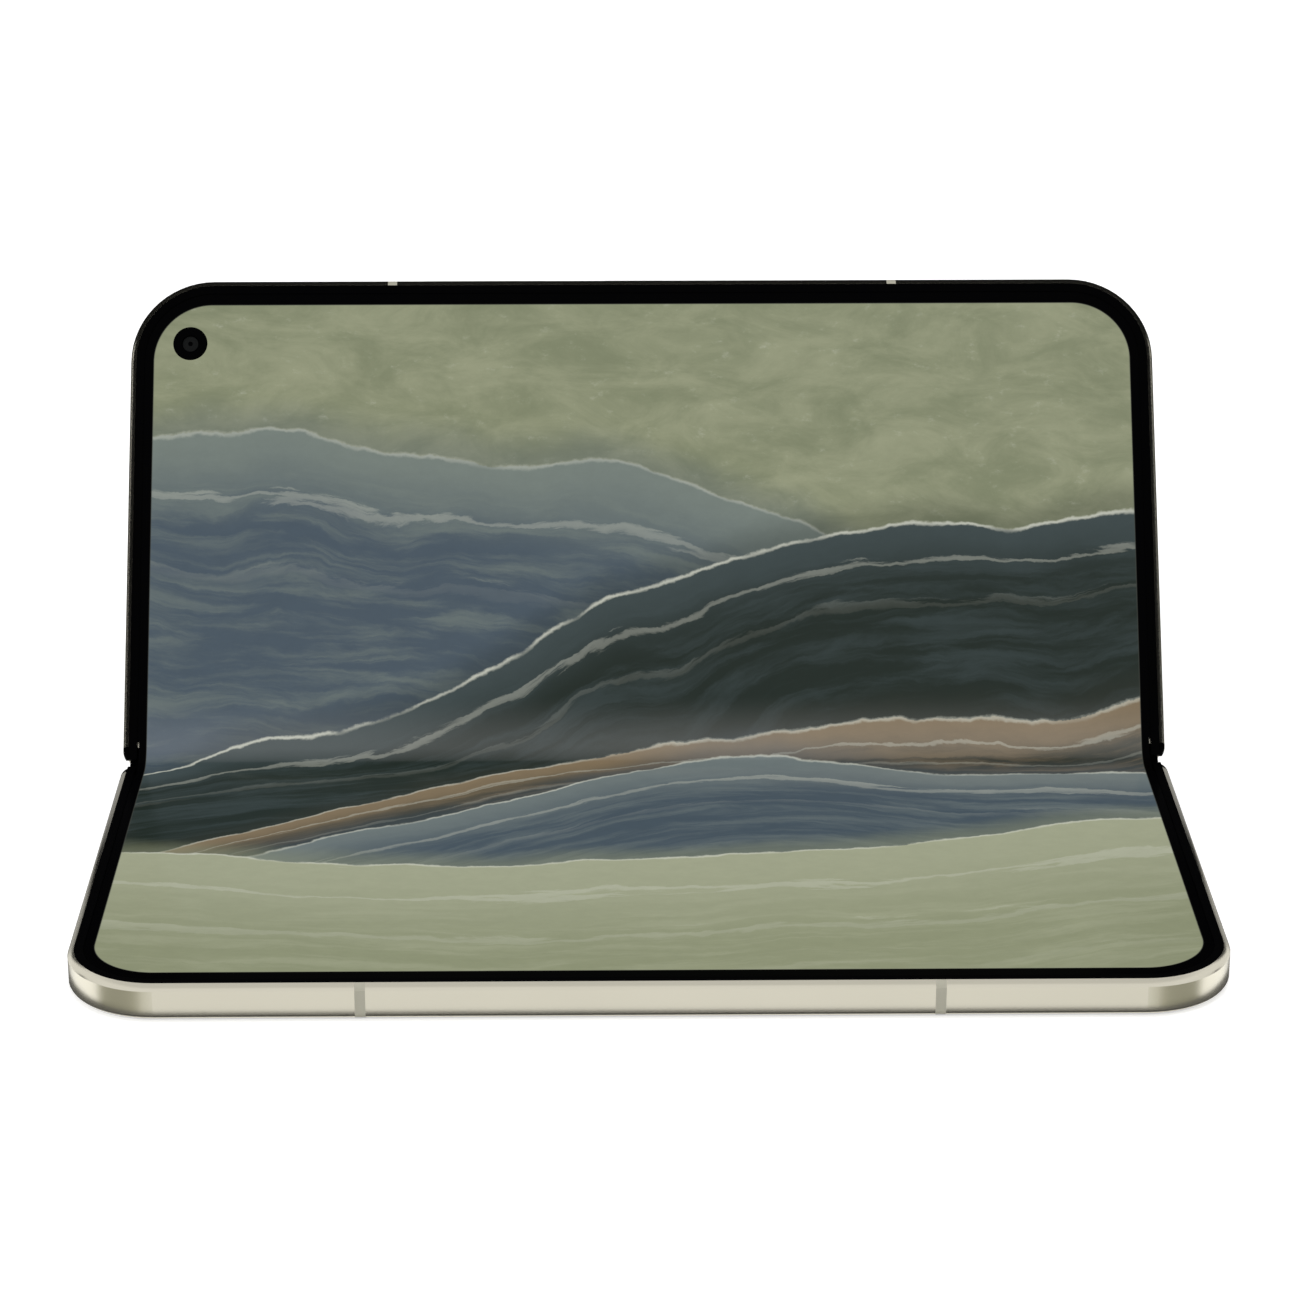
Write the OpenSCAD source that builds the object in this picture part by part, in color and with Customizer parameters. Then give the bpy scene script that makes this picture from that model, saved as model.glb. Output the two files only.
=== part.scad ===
// Foldable smartphone that opens like a book. Two slim halves turn about two parallel
// axes on a geared spine, so that both always make the same angle with it. The phone is
// drawn as it stands on a table: the lower half lies flat, the upper half leans back.
//
// Frame: the origin is the middle of the lower half's resting face, +X runs along the
// hinge, +Y points to the leaning half and +Z is up.
// Each half is drawn in its own half frame: x along the hinge, y away from the hinge line
// and z up to the screen side, with z = 0 on the top of the bezel.

/* [Body] */
// Width of the body, along the hinge
body_w = 155.2; // [150:0.1:165]
// Length of each half, from the hinge line to its free edge
half_l = 75.1; // [74:0.1:80]
// Thickness of each half
body_t = 5.1; // [5.1:0.05:6]
// Corner radius at the free edges
corner_r = 12.5; // [10:0.5:14]
// Corner radius beside the hinge
hinge_corner_r = 2.5; // [2.3:0.1:3]
// Thickness of the frame's side walls
wall_t = 2.2; // [2:0.1:2.3]
// Width of the crowned shoulder along the frame's edges
shoulder_w = 0.9; // [0.6:0.05:1]
// Height of the crowned shoulder along the frame's edges
shoulder_h = 0.85; // [0.6:0.05:1]
// Crown radius of the shoulder
shoulder_r = 1.4; // [1:0.1:3]

/* [Pose] */
// Angle between the two halves of the screen
fold_angle = 122; // [40:1:180]

/* [Screen] */
// Thickness of the folding screen
screen_t = 0.6; // [0.4:0.05:0.7]
// Depth of the screen below the bezel
screen_depth = 0.15; // [0.13:0.01:0.2]
// Width that the bezel trim covers
trim_w = 1.2; // [1:0.1:1.5]
// Distance from the hinge line at which the screen starts to bend
bend_start = 2.95; // [2.5:0.05:3.5]
// Radius of the camera hole in the screen
punch_r = 2.6; // [2:0.1:3]

/* [Hinge] */
// Gap between the bezels when the phone is shut
closed_gap = 0.3; // [0.2:0.05:0.5]
// Depth of the fold axes below the bezel
axis_depth = 1.325; // [1.2:0.025:1.35]
// Outer radius of the spine
spine_r = 3.2; // [3.1:0.05:3.25]
// Wall of the spine cover
spine_wall = 0.4; // [0.3:0.05:0.45]
// Teeth on each synchronising gear
gear_teeth = 10; // [10:2:10]
// Gear module
gear_m = 0.16; // [0.155:0.005:0.16]
// Width of the gears
gear_w = 3; // [2:0.5:3]
// Shaft radius
shaft_r = 0.35; // [0.3:0.01:0.36]

/* [Rear cameras] */
// Length of the camera island
island_l = 54; // [52:1:58]
// Width of the camera island
island_w = 19; // [18:0.5:20]
// Height of the camera island above the back glass
island_h = 1.6; // [1:0.1:2]
// Spacing of the lenses
lens_pitch = 17; // [16:0.5:17.5]

/* [Hidden] */
$fn = 64;                               // true circles in the exact build; facets in a preview
cut = 1;                                // how far a cut runs past the face it opens
fit = 0.03;                             // gap between pieces that are glued or seated

metal = [0.80, 0.78, 0.70];
dark = [0.03, 0.03, 0.035];
steel = [0.62, 0.63, 0.65];
screen_col = [0.36, 0.40, 0.36];
glass_col = [0.10, 0.11, 0.12];
board_col = [0.05, 0.22, 0.16];
battery_col = [0.16, 0.17, 0.19];
gold = [0.80, 0.62, 0.30];

hx = body_w / 2;
edge_y = 0.2;                           // where each half's back wall stops short of the hinge line
rail_y = 7;                             // inner face of the rail along the hinge
axis_y = axis_depth + closed_gap / 2;
lean = (180 - fold_angle) / 2;          // turn of each fold axis from flat
barrel_r = spine_r + 0.125;             // hollow in each half that the spine turns in
nose_y = 3.2;                           // end of the frame's metal above the spine
guard_y = 1.3;                          // end of the bezel's hinge guards
flat_start = 4;                         // end of each flat half of the screen, clear of the guards
spine_x = hx - 0.9;                     // half length of the spine
spine_top = -2.1;                       // upper edge of the spine's walls
spine_inner_r = spine_r - spine_wall;

plate_t = 0.25;                         // steel plate behind each half of the screen
seat_z = -screen_depth - screen_t - plate_t;
deck_t = 0.5;                           // frame deck that carries the screen
deck_z = seat_z - deck_t;
glass_t = 0.5;
glass_z = -body_t + glass_t;            // inner face of the cover glass and the back glass
glass_y = 4.2;                          // hinge-side edge of the cover glass and the back glass
panel_t = 0.5;
plate_hole_r = punch_r + 0.8;           // camera hole in the deck and the plate behind the screen
recess_u = shoulder_w - 0.02;           // side of the recess that holds the screen
trim_u = recess_u + fit;
trim_step = 0.6;                        // width of the trim's foot beside the screen
lip_t = 0.13;                           // thickness of the trim's lip over the screen
window_z = -screen_depth - screen_t - 0.05;
screen_inset = trim_u + trim_step + fit;
bay_z = glass_z + panel_t + 0.05;       // floor of the lower half's bay, behind the cover screen
board_z = deck_z - 0.7;                 // lower face of the boards that hang from the deck

// Hinge modules: the synchronising gears, the friction springs and two curved guides
module_x = 30;
shaft_y = 2.4;
shaft_z = -2.6;
idler_y = shaft_y / 3;
wall_a = [0, 2];
gear_x = 2.1;
detent_x = [5.25, 6.65];
spring_x = [6.7, 11.15];
wall_b = [11.2, 14];
shaft_x = [0.2, 13.4];
guide_lower = [14.1, 18.9];
guide_upper = [20.1, 24.9];
wall_d = [25, 26];
base_r = 2.7;
base_top = -1.6;
base_floor = -3.7;
guide_r = [1.5, 2.2];
guide_gap = 0.06;
guide_span = [180, 315];
arm_z = [0.7, 1.2];                     // swing arm's plate, from the shaft's height
arm_y = [1, 1.4];                       // swing arm's riser, outwards from the shaft
arm_end = 6.1;
bracket_z = [-1.95, -1.35];
bracket_y = 12;
bracket_screw_y = 9.5;
cable_w = 14;
cable_t = 0.15;
cable_z = -1.52;                        // top of the ribbon where it lies under each deck
pressure = 25;                          // pressure angle of the gears
addendum = 0.8;
dedendum = 1.1;
backlash = 0.9;                         // degrees taken off each flank
pitch_r = gear_teeth * gear_m / 2;
base_circle = pitch_r * cos(pressure);
tip_r = pitch_r + addendum * gear_m;
root_r = pitch_r - dedendum * gear_m;
bore_r = shaft_r + fit;

// Places of the pieces inside the halves
band_x = 38;
band_w = 1.4;
band_depth = 0.85;
punch = [-68.6, 65.2];
cover_cam = [-69.5, 37.5];
lens_y = 59;
lens_x = [-57, -57 + lens_pitch, -57 + 2 * lens_pitch];
lens_bore = 4.4;
flash_x = lens_x[0] + 1.5 * lens_pitch;
mic_x = lens_x[0] + 0.5 * lens_pitch;
island_z = -body_t - island_h;          // outer face of the camera island
window_r = 5.4;                         // lens window in each ring
port = [hx, 37.5, -2.8];
port_size = [8.94, 3.16];
port_mouth = [8.34, 2.56];
tray = [hx, 37.5, -2.7];
tray_size = [13, 1.8];
power_x = -1.25;
power_l = 10.5;
volume_x = -24;
volume_l = 20;
button_h = 2;
button_z = -2.55;
button_gap = 0.1;
button_out = 0.3;
key_in = half_l - wall_t - 0.75;        // inner face of the keys, just off their switches
board_inset = wall_t + 0.3;             // from the outer face to the boards' edges
board_end = 70.2;                       // where the boards stop short of the magnets
board_screw = [
    [-73.3, 16.2], [-13.7, 16.2], [-45.9, 46.3], [-73.3, 46.6], [55, 68], [72, 16.2], [55, 16.2]
];
board_screw_r = 0.4;
hole_z = -2.6;                          // height of the openings in the side walls
hole_r = 0.5;                           // microphone holes
speaker_slots = [49:3:61];
earpiece_slots = [55:3:61];
wall_cut = wall_t + 2 * cut;

// ---- places -------------------------------------------------------------------------

module turn_about(y, z, angle) {
    translate([0, y, z]) rotate([angle, 0, 0]) translate([0, -y, -z]) children();
}

// Children drawn with the phone flat, screen up, hinge line at y = 0
module in_flat() {
    translate([0, half_l / 2, body_t]) children();
}

module in_lower() {
    in_flat() mirror([0, 1, 0]) children();
}

module in_spine() {
    in_flat() turn_about(-axis_y, -axis_depth, lean) children();
}

module in_upper() {
    in_spine() turn_about(axis_y, -axis_depth, lean) children();
}

// Children in both hinge modules, x measured outwards from the module's inner end
module in_modules() {
    for (m = [0, 1]) mirror([m, 0, 0]) translate([module_x, 0, 0]) children();
}

// A profile drawn in the plane across the hinge, stretched from x = a to x = b
module along_x(a, b) {
    translate([a, 0, 0]) rotate([90, 0, 90]) linear_extrude(b - a) children();
}

// ---- shared shapes ------------------------------------------------------------------

module box(x, y, z) {
    translate([x[0], y[0], z[0]]) cube([x[1] - x[0], y[1] - y[0], z[1] - z[0]]);
}

// Outline of one half, drawn in by inset, from y_from to the free edge
module half_outline(inset, y_from) {
    w = hx - inset;
    translate([-w, y_from]) square([2 * w, half_l - corner_r - y_from]);
    translate([corner_r - hx, y_from]) square([body_w - 2 * corner_r, half_l - inset - y_from]);
    for (x = [corner_r - hx, hx - corner_r])
        translate([x, half_l - corner_r]) circle(corner_r - inset);
}

module half_plate(inset, y_from, z) {
    translate([0, 0, z[0]]) linear_extrude(z[1] - z[0]) half_outline(inset, y_from);
}

// Rectangle with round corners
module pad(x, y, r) {
    translate([x[0] + r, y[0]]) square([x[1] - x[0] - 2 * r, y[1] - y[0]]);
    translate([x[0], y[0] + r]) square([x[1] - x[0], y[1] - y[0] - 2 * r]);
    for (cx = [x[0] + r, x[1] - r], cy = [y[0] + r, y[1] - r]) translate([cx, cy]) circle(r);
}

module slab(x, y, z, r) {
    translate([0, 0, z[0]]) linear_extrude(z[1] - z[0]) pad(x, y, r);
}

// Slot with round ends, drawn about its middle
module slot(l, h) {
    square([l - h, h], center = true);
    for (x = [-1, 1]) translate([x * (l - h) / 2, 0]) circle(d = h);
}

// Section of the frame's rim: x inwards from the outer face, y up to the screen side
module rim_section(depth) {
    chord = norm([shoulder_w, shoulder_h]);
    sag = sqrt(pow(shoulder_r, 2) - pow(chord / 2, 2));
    cx = shoulder_w / 2 + sag * shoulder_h / chord;
    cy = shoulder_h / 2 + sag * shoulder_w / chord;
    intersection() {
        translate([0, -body_t]) square([depth, body_t]);
        union() {
            translate([0, cy - body_t]) square([depth, body_t - 2 * cy]);
            translate([cx, -body_t]) square([hx, body_t]);
            translate([cx, -cy]) circle(shoulder_r);
            translate([cx, cy - body_t]) circle(shoulder_r);
        }
    }
}

// A section swept along the free edge, its corners and the sides down to y_from
module sweep_rim(y_from) {
    translate([hx - corner_r, half_l, 0]) rotate([90, 0, -90])
        linear_extrude(body_w - 2 * corner_r) children();
    for (m = [0, 1]) mirror([m, 0, 0]) {
        translate([hx, y_from, 0]) rotate([90, 0, 180])
            linear_extrude(half_l - corner_r - y_from) children();
        translate([hx - corner_r, half_l - corner_r, 0]) rotate_extrude(angle = 90)
            translate([corner_r, 0]) mirror([1, 0]) children();
    }
}

// The rim's solid corner beside the hinge, on both sides
module hinge_corners() {
    for (m = [0, 1]) mirror([m, 0, 0])
        translate([hx - hinge_corner_r, edge_y + hinge_corner_r, 0]) rotate([0, 0, -90])
            rotate_extrude(angle = 90) translate([hinge_corner_r, 0]) mirror([1, 0])
                rim_section(hinge_corner_r);
}

// Hollow that the spine turns in, open towards the screen beside the hinge line
module spine_hollow() {
    along_x(-hx - cut, hx + cut) {
        intersection() {
            translate([axis_y, -axis_depth]) circle(barrel_r);
            translate([axis_y, -body_t]) square([barrel_r, body_t - axis_depth]);
        }
        translate([-cut, -axis_depth - barrel_r]) square([axis_y + cut, barrel_r + axis_depth + cut]);
        translate([-cut, -axis_depth - fit]) square([nose_y + cut, axis_depth + fit + cut]);
    }
}

// ---- the two frames -----------------------------------------------------------------

// Pockets and bosses of the hinge modules. guide is the x range of this half's bracket.
module hinge_pockets(guide) {
    in_modules() {
        box([gear_x - 0.2, gear_x + gear_w + 0.2], [0, 9], [-2.35, seat_z + cut]);
        box([guide[0] - 0.1, guide[1] + 0.1], [0, bracket_y + 0.1], [bracket_z[0], seat_z + cut]);
    }
}

module hinge_bosses(guide) {
    in_modules() box([guide[0] - 1, guide[1] + 1], [rail_y - fit, bracket_y + 1], [glass_z + 0.6, deck_z]);
}

module bracket_screw_places(guide) {
    in_modules() for (x = [guide[0] + 1.2, guide[1] - 1.2])
        translate([x, bracket_screw_y, 0]) children();
}

module half_frame(guide) {
    difference() {
        union() {
            sweep_rim(edge_y + hinge_corner_r) rim_section(wall_t);
            hinge_corners();
            along_x(hinge_corner_r - hx, hx - hinge_corner_r)
                translate([edge_y, 0]) rim_section(rail_y - edge_y);
            box([-hx + wall_t, hx - wall_t], [edge_y + hinge_corner_r, rail_y], [-body_t, seat_z]);
            half_plate(wall_t - 0.2, rail_y - 2, [deck_z, seat_z]);
            hinge_bosses(guide);
        }
        half_plate(recess_u, -cut, [seat_z, cut]);
        half_plate(shoulder_w + 0.05, glass_y - 0.05, [-body_t - cut, glass_z]);
        spine_hollow();
        hinge_pockets(guide);
        bracket_screw_places(guide) translate([0, 0, bracket_z[0] - 1.8]) cylinder(r = 0.4, h = 3);
        box([-cable_w / 2 - 0.5, cable_w / 2 + 0.5], [nose_y, rail_y + cut], [-2.1, deck_z]);
        for (x = [-band_x, band_x])
            box([x - band_w / 2, x + band_w / 2], [half_l - band_depth, half_l + cut],
                [-body_t - cut, cut]);
    }
}

// A profile cut through the side wall on the given side (1 right, -1 left), y along the wall
module side_cut(side, y, z) {
    translate([side * (hx - wall_t / 2) - wall_cut / 2, y, z]) rotate([90, 0, 90])
        linear_extrude(wall_cut) children();
}

module lower_frame() {
    color(metal) in_lower() difference() {
        half_frame(guide_lower);
        side_cut(1, tray[1], tray[2]) slot(tray_size[0] + 0.2, tray_size[1] + 0.2);
        for (y = [22, 53]) side_cut(1, y, hole_z) circle(hole_r);
        for (y = earpiece_slots) side_cut(-1, y, hole_z) slot(2, 2 * hole_r);
    }
}

module upper_frame() {
    color(metal) in_upper() difference() {
        half_frame(guide_upper);
        side_cut(1, port[1], port[2]) slot(port_size[0] + 2 * fit, port_size[1] + 2 * fit);
        box([hx - 8, hx - wall_t + fit], [port[1] - 5.2, port[1] + 5.2], [-3, -1.15]);
        for (y = speaker_slots) side_cut(1, y, hole_z) slot(2, 2 * hole_r);
        side_cut(1, 25, hole_z) circle(hole_r);
        for (key = [[power_x, power_l], [volume_x, volume_l]])
            translate([key[0], half_l + cut, button_z]) rotate([90, 0, 0]) linear_extrude(wall_cut)
                slot(key[1] + 2 * button_gap, button_h + 2 * button_gap);
        translate([punch[0], punch[1], deck_z - cut]) cylinder(r = plate_hole_r, h = deck_t + 2 * cut);
        board_screw_places() translate([0, 0, deck_z - cut])
            cylinder(r = board_screw_r + fit, h = cut + 0.35);
    }
}

module antenna_bands() {
    color([0.70, 0.69, 0.62]) intersection() {
        translate([hx - corner_r, half_l, 0]) rotate([90, 0, -90])
            linear_extrude(body_w - 2 * corner_r) rim_section(band_depth);
        for (x = [-band_x, band_x])
            box([x - band_w / 2, x + band_w / 2], [half_l - 2, half_l + cut], [-body_t - cut, cut]);
    }
}

module lower_antenna_bands() { in_lower() antenna_bands(); }
module upper_antenna_bands() { in_upper() antenna_bands(); }

// Black trim round three sides of the screen, with a guard over each end of the spine
module bezel_trim() {
    color(dark) {
        sweep_rim(guard_y) {
            translate([trim_u, seat_z]) square([trim_step, -seat_z]);
            translate([trim_u, -lip_t]) square([trim_w, lip_t]);
        }
        intersection() {
            union() {
                hinge_corners();
                for (m = [0, 1]) mirror([m, 0, 0])
                    translate([hx, edge_y + hinge_corner_r, 0]) rotate([90, 0, 180])
                        linear_extrude(2) rim_section(trim_w + trim_u);
            }
            for (m = [0, 1]) mirror([m, 0, 0])
                box([hx - trim_u - trim_w, hx + cut], [guard_y, nose_y - fit], [-axis_depth + 0.045, cut]);
        }
    }
}

module lower_bezel_trim() { in_lower() bezel_trim(); }
module upper_bezel_trim() { in_upper() bezel_trim(); }

// ---- screen, glass and plates -------------------------------------------------------

module screen_half() {
    half_plate(screen_inset, flat_start, [-screen_depth - screen_t, -screen_depth]);
}

module screen_plate() {
    half_plate(screen_inset, flat_start, [seat_z, seat_z + plate_t]);
}

module display_lower() {
    color(screen_col) in_lower() screen_half();
}

module display_upper() {
    color(screen_col) in_upper() difference() {
        screen_half();
        translate([punch[0], punch[1], -cut]) cylinder(r = punch_r, h = 2 * cut);
    }
}

module display_plate_lower() {
    color(steel) in_lower() screen_plate();
}

module display_plate_upper() {
    color(steel) in_upper() difference() {
        screen_plate();
        translate([punch[0], punch[1], seat_z - cut]) cylinder(r = plate_hole_r, h = 2 * cut);
    }
}

// A point of the +y half, [distance from the hinge line, height], seen from the spine
function seen_from_spine(p) = let(arm = p - [axis_y, -axis_depth])
    [axis_y + arm[0] * cos(lean) - arm[1] * sin(lean),
        -axis_depth + arm[0] * sin(lean) + arm[1] * cos(lean)];

// The stretch of screen over the spine: a round bend that meets both flat halves
module display_bend() {
    end = seen_from_spine([bend_start, -screen_depth]);
    span = 2 * max(lean, 0.2);
    bend_r = end[0] / sin(span / 2);
    length = body_w - 4 * trim_w;
    color(screen_col) {
        in_spine() translate([-length / 2, 0, end[1] + bend_r * cos(span / 2)]) rotate([90, 0, 90])
            rotate([0, 0, 270 - span / 2]) rotate_extrude(angle = span)
                translate([bend_r, 0]) square([screen_t, length]);
        in_lower() bend_lead(length);
        in_upper() bend_lead(length);
    }
}

// Straight stretch between the bend and the flat half beside it. It is a hair thinner than the
// bend, so that it ends inside it.
module bend_lead(length) {
    hair = 0.01;
    box([hair - length / 2, length / 2 - hair], [bend_start - 0.25, flat_start],
        [-screen_depth - screen_t + hair, -screen_depth - hair]);
}

// Glass sheet in the frame's rebate
module rear_sheet() {
    half_plate(shoulder_w + 0.05 + fit, glass_y, [-body_t, glass_z]);
}

module cover_glass() {
    color(glass_col) in_lower() rear_sheet();
}

module cover_display_panel() {
    color(dark) in_lower() difference() {
        half_plate(wall_t + 0.4, 9, [glass_z, glass_z + panel_t]);
        translate([cover_cam[0], cover_cam[1], glass_z - cut]) cylinder(r = 2.1, h = 2 * cut);
    }
}

module back_glass() {
    color([0.72, 0.70, 0.63]) in_upper() difference() {
        rear_sheet();
        translate([lens_x[1], lens_y, -body_t - cut]) linear_extrude(glass_t + 2 * cut)
            slot(island_l + 4 * fit, island_w + 4 * fit);
    }
}

// ---- inside the lower half ----------------------------------------------------------

module cover_camera() {
    color(dark) in_lower() translate([cover_cam[0], cover_cam[1], 0]) {
        translate([0, 0, glass_z]) cylinder(r = 1.9, h = 1.4);
        slab([-3, 3], [-3, 3], [-3.6, deck_z], 0.5);
    }
}

// Flat pouch cell with its folded sealed edge and tab
module pouch_cell(x, y, z) {
    slab(x, y, z, 1.5);
    box([x[0] + 4, x[1] - 4], [y[1], y[1] + 1.2], [z[1] - 1.2, z[1]]);
    box([x[1], x[1] + 2], [y[0] + 6, y[0] + 22], [z[1] - 0.8, z[1]]);
}

module battery_lower() {
    color(battery_col) in_lower() pouch_cell([-56, 40], [13.5, 68], [bay_z, deck_z]);
}

// Chips and connectors on a board, each given as [x from, x to, y from, y to]
module chips(places, z) {
    for (c = places) box([c[0], c[1]], [c[2], c[3]], z);
}

// Board outline that follows the frame round its corner, with notches in two edges
module board_outline(x, notches) {
    difference() {
        intersection() {
            pad(x, [14.5, board_end], 1);
            half_outline(board_inset, 14);
        }
        for (n = notches) pad([n[0], n[1]], [n[2], n[3]], 0.6);
    }
}

module lower_board() {
    top = bay_z + 0.5;
    color(board_col) in_lower() {
        translate([0, 0, bay_z]) linear_extrude(0.5)
            board_outline([43.5, 76], [[42, 45, 27, 43], [68, 80, 46.5, 57]]);
        chips([[46, 53, 47, 56], [47, 54, 60, 68], [57, 65, 59, 67], [46, 52, 16, 22]], [top - fit, -2.2]);
    }
}

module top_speaker() {
    color(dark) in_lower() {
        slab([-74.5, -61], [50, 66], [bay_z, deck_z - 0.4], 1.5);
        slab([-72, -64], [52.5, 63.5], [deck_z - 0.4 - fit, deck_z], 3);
    }
}

// Sheet metal cage that the card tray slides into
module sim_reader() {
    color(steel) in_lower() difference() {
        box([57, 75], [tray[1] - 7, tray[1] + 7], [bay_z + 0.5, -1.75]);
        box([58, 75 + cut], [tray[1] - 6.4, tray[1] + 6.4], [-3.2, -2.1]);
    }
}

// Card tray: a round-ended head in the side wall with a frame for the card behind it
module sim_tray() {
    color(metal) in_lower() difference() {
        union() {
            translate([hx - 1.6, tray[1], tray[2]]) rotate([90, 0, 90])
                linear_extrude(1.6) slot(tray_size[0], tray_size[1]);
            box([59, hx - 1.5], [tray[1] - 6.1, tray[1] + 6.1], [-3, -2.3]);
        }
        box([61, 70], [tray[1] - 4.6, tray[1] + 4.6], [-4, -1]);
        translate([hx - 1.5, tray[1] + 4, tray[2]]) rotate([0, 90, 0]) cylinder(r = 0.4, h = 2);
    }
}

module vibration_motor() {
    color(steel) in_lower() {
        slab([60, 73], [16, 25], [bay_z + 0.5, -1.7], 2);
        box([57, 60 + fit], [18, 23], [bay_z + 0.5, bay_z + 0.7]);
    }
}

module magnet_row() {
    color(steel) for (x = [-50, 26, 50]) slab([x - 5, x + 5], [70.4, 72.4], [-3.6, deck_z], 0.4);
}

module magnets_lower() { in_lower() magnet_row(); }
module magnets_upper() { in_upper() magnet_row(); }

// ---- hinge --------------------------------------------------------------------------

// Section of the spine between the two fold axes and below them
module spine_section(r, top) {
    intersection() {
        union() {
            for (y = [-axis_y, axis_y]) translate([y, -axis_depth]) circle(r);
            translate([-axis_y, -axis_depth - r]) square([2 * axis_y, r]);
        }
        translate([-axis_y - r - cut, -body_t]) square([2 * (axis_y + r + cut), body_t + top]);
    }
}

module spine_cover() {
    color(metal) in_spine() along_x(-spine_x, spine_x) difference() {
        spine_section(spine_r, spine_top);
        spine_section(spine_inner_r, spine_top + cut);
    }
}

module spine_end_caps() {
    color(dark) in_spine() for (m = [0, 1]) mirror([m, 0, 0]) along_x(spine_x - 1.6, spine_x - 0.1) {
        spine_section(spine_inner_r - fit, -1.65);
        translate([-1.3, -axis_depth - spine_inner_r]) square([2.6, 1]);
    }
}

// Curved guide about the fold axis of the half on the -y side
module guide_arc(r, span, x) {
    translate([x[0], -axis_y, -axis_depth]) rotate([90, 0, 90]) rotate([0, 0, span[0]])
        rotate_extrude(angle = span[1] - span[0]) translate([r[0], 0]) square([r[1] - r[0], x[1] - x[0]]);
}

module guide_groove(x) {
    guide_arc([guide_r[0] - guide_gap, guide_r[1] + guide_gap], [guide_span[0] - 20, guide_span[1] + 3],
        [x[0] - 0.1, x[1] + 0.1]);
    box([x[0] - 0.2, x[1] + 0.2], [-6, -3.5], [-2.05, cut]);
}

// Body of a hinge module: bearing walls, a floor under the gears, and the guide grooves
module hinge_base() {
    difference() {
        union() {
            along_x(wall_a[0], wall_d[1]) spine_section(base_r, base_top);
            box([wall_a[0], wall_d[1]], [-1.3, 1.3], [-axis_depth - spine_inner_r, base_floor]);
        }
        box([wall_a[1], wall_b[0]], [-6, 6], [base_floor, cut]);
        guide_groove(guide_lower);
        mirror([0, 1, 0]) guide_groove(guide_upper);
        shaft_places() translate([-cut, 0, 0]) rotate([0, 90, 0])
            cylinder(r = shaft_r + 0.01, h = cut + shaft_x[1] + 0.1);
    }
}

module shaft_places() {
    for (y = [-shaft_y, -idler_y, idler_y, shaft_y]) translate([0, y, shaft_z]) children();
}

module hinge_base_right() {
    color(steel) in_spine() translate([module_x, 0, 0]) hinge_base();
}

module hinge_base_left() {
    color(steel) in_spine() mirror([1, 0, 0]) translate([module_x, 0, 0]) hinge_base();
}

module hinge_shafts() {
    color(steel) in_spine() in_modules() shaft_places()
        translate([shaft_x[0], 0, 0]) rotate([0, 90, 0]) cylinder(r = shaft_r, h = shaft_x[1] - shaft_x[0]);
}

// Sliding plate between the gears and the washers, which holds the fold where it is put
module detent_plates() {
    color(steel) in_spine() in_modules() difference() {
        box(detent_x, [-3.1, 3.1], [-3.45, -1.75]);
        shaft_places() rotate([0, 90, 0]) cylinder(r = bore_r, h = wall_b[0]);
    }
}

// Stacks of coned spring washers on the two outer shafts, turned over one by one
module disc_springs() {
    count = 8;
    pitch = (spring_x[1] - spring_x[0]) / count;
    washer_r = [0.4, 0.88];
    rise = 0.3;
    thick = pitch - rise - 0.05;
    color([0.45, 0.46, 0.48]) in_spine() in_modules() for (y = [-shaft_y, shaft_y], i = [0:count - 1])
        translate([spring_x[0] + i * pitch, y, shaft_z]) rotate([0, 90, 0]) rotate_extrude()
            polygon([
                [washer_r[0], rise * (i % 2)], [washer_r[1], rise * (1 - i % 2)],
                [washer_r[1], rise * (1 - i % 2) + thick], [washer_r[0], rise * (i % 2) + thick]]);
}

module hinge_support_plate() {
    color(steel) in_spine() box([-72, 72], [-1, 1], [base_top, -1.35]);
}

// Gear outline with involute flanks, each flank in four straight cuts
function roll(r) = let(a = acos(min(1, base_circle / r))) tan(a) * 180 / PI - a;
function half_tooth(r) = 90 / gear_teeth - backlash + roll(pitch_r) - roll(max(r, base_circle));
flank = [root_r, base_circle, base_circle + (tip_r - base_circle) * 0.4,
    base_circle + (tip_r - base_circle) * 0.7, tip_r];

module gear_outline(phase) {
    last = len(flank) - 1;
    polygon([for (i = [0:gear_teeth - 1]) for (k = [0:2 * last + 1])
        let(r = flank[k <= last ? k : 2 * last + 1 - k], side = k <= last ? -1 : 1)
        let(a = phase + i * 360 / gear_teeth + side * half_tooth(r))
        r * [cos(a), sin(a)]]);
}

// Arm geared to the spine: it stays parallel to its half and slides in the half's pocket
module swing_arms(phase) {
    in_modules() translate([0, -shaft_y, shaft_z]) turn_about(0, 0, -lean)
        along_x(gear_x, gear_x + gear_w) difference() {
            union() {
                gear_outline(phase);
                translate([-arm_y[1], -0.15]) square([arm_y[1], 0.6]);
                translate([-arm_y[1], 0]) square([arm_y[1] - arm_y[0], arm_z[1]]);
                translate([-arm_end, arm_z[0]]) square([arm_end - arm_y[0], arm_z[1] - arm_z[0]]);
            }
            circle(bore_r);
        }
}

module swing_arms_lower() {
    color(gold) in_spine() swing_arms(180 / gear_teeth);
}

module swing_arms_upper() {
    color(gold) in_spine() mirror([0, 1, 0]) swing_arms(0);
}

module idler_gears(side, phase) {
    in_modules() translate([0, side * idler_y, shaft_z])
        along_x(gear_x, gear_x + gear_w) difference() {
            gear_outline(phase - side * lean);
            circle(bore_r);
        }
}

module idler_gears_lower() {
    color(gold) in_spine() idler_gears(-1, 0);
}

module idler_gears_upper() {
    color(gold) in_spine() idler_gears(1, 180 / gear_teeth);
}

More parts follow.
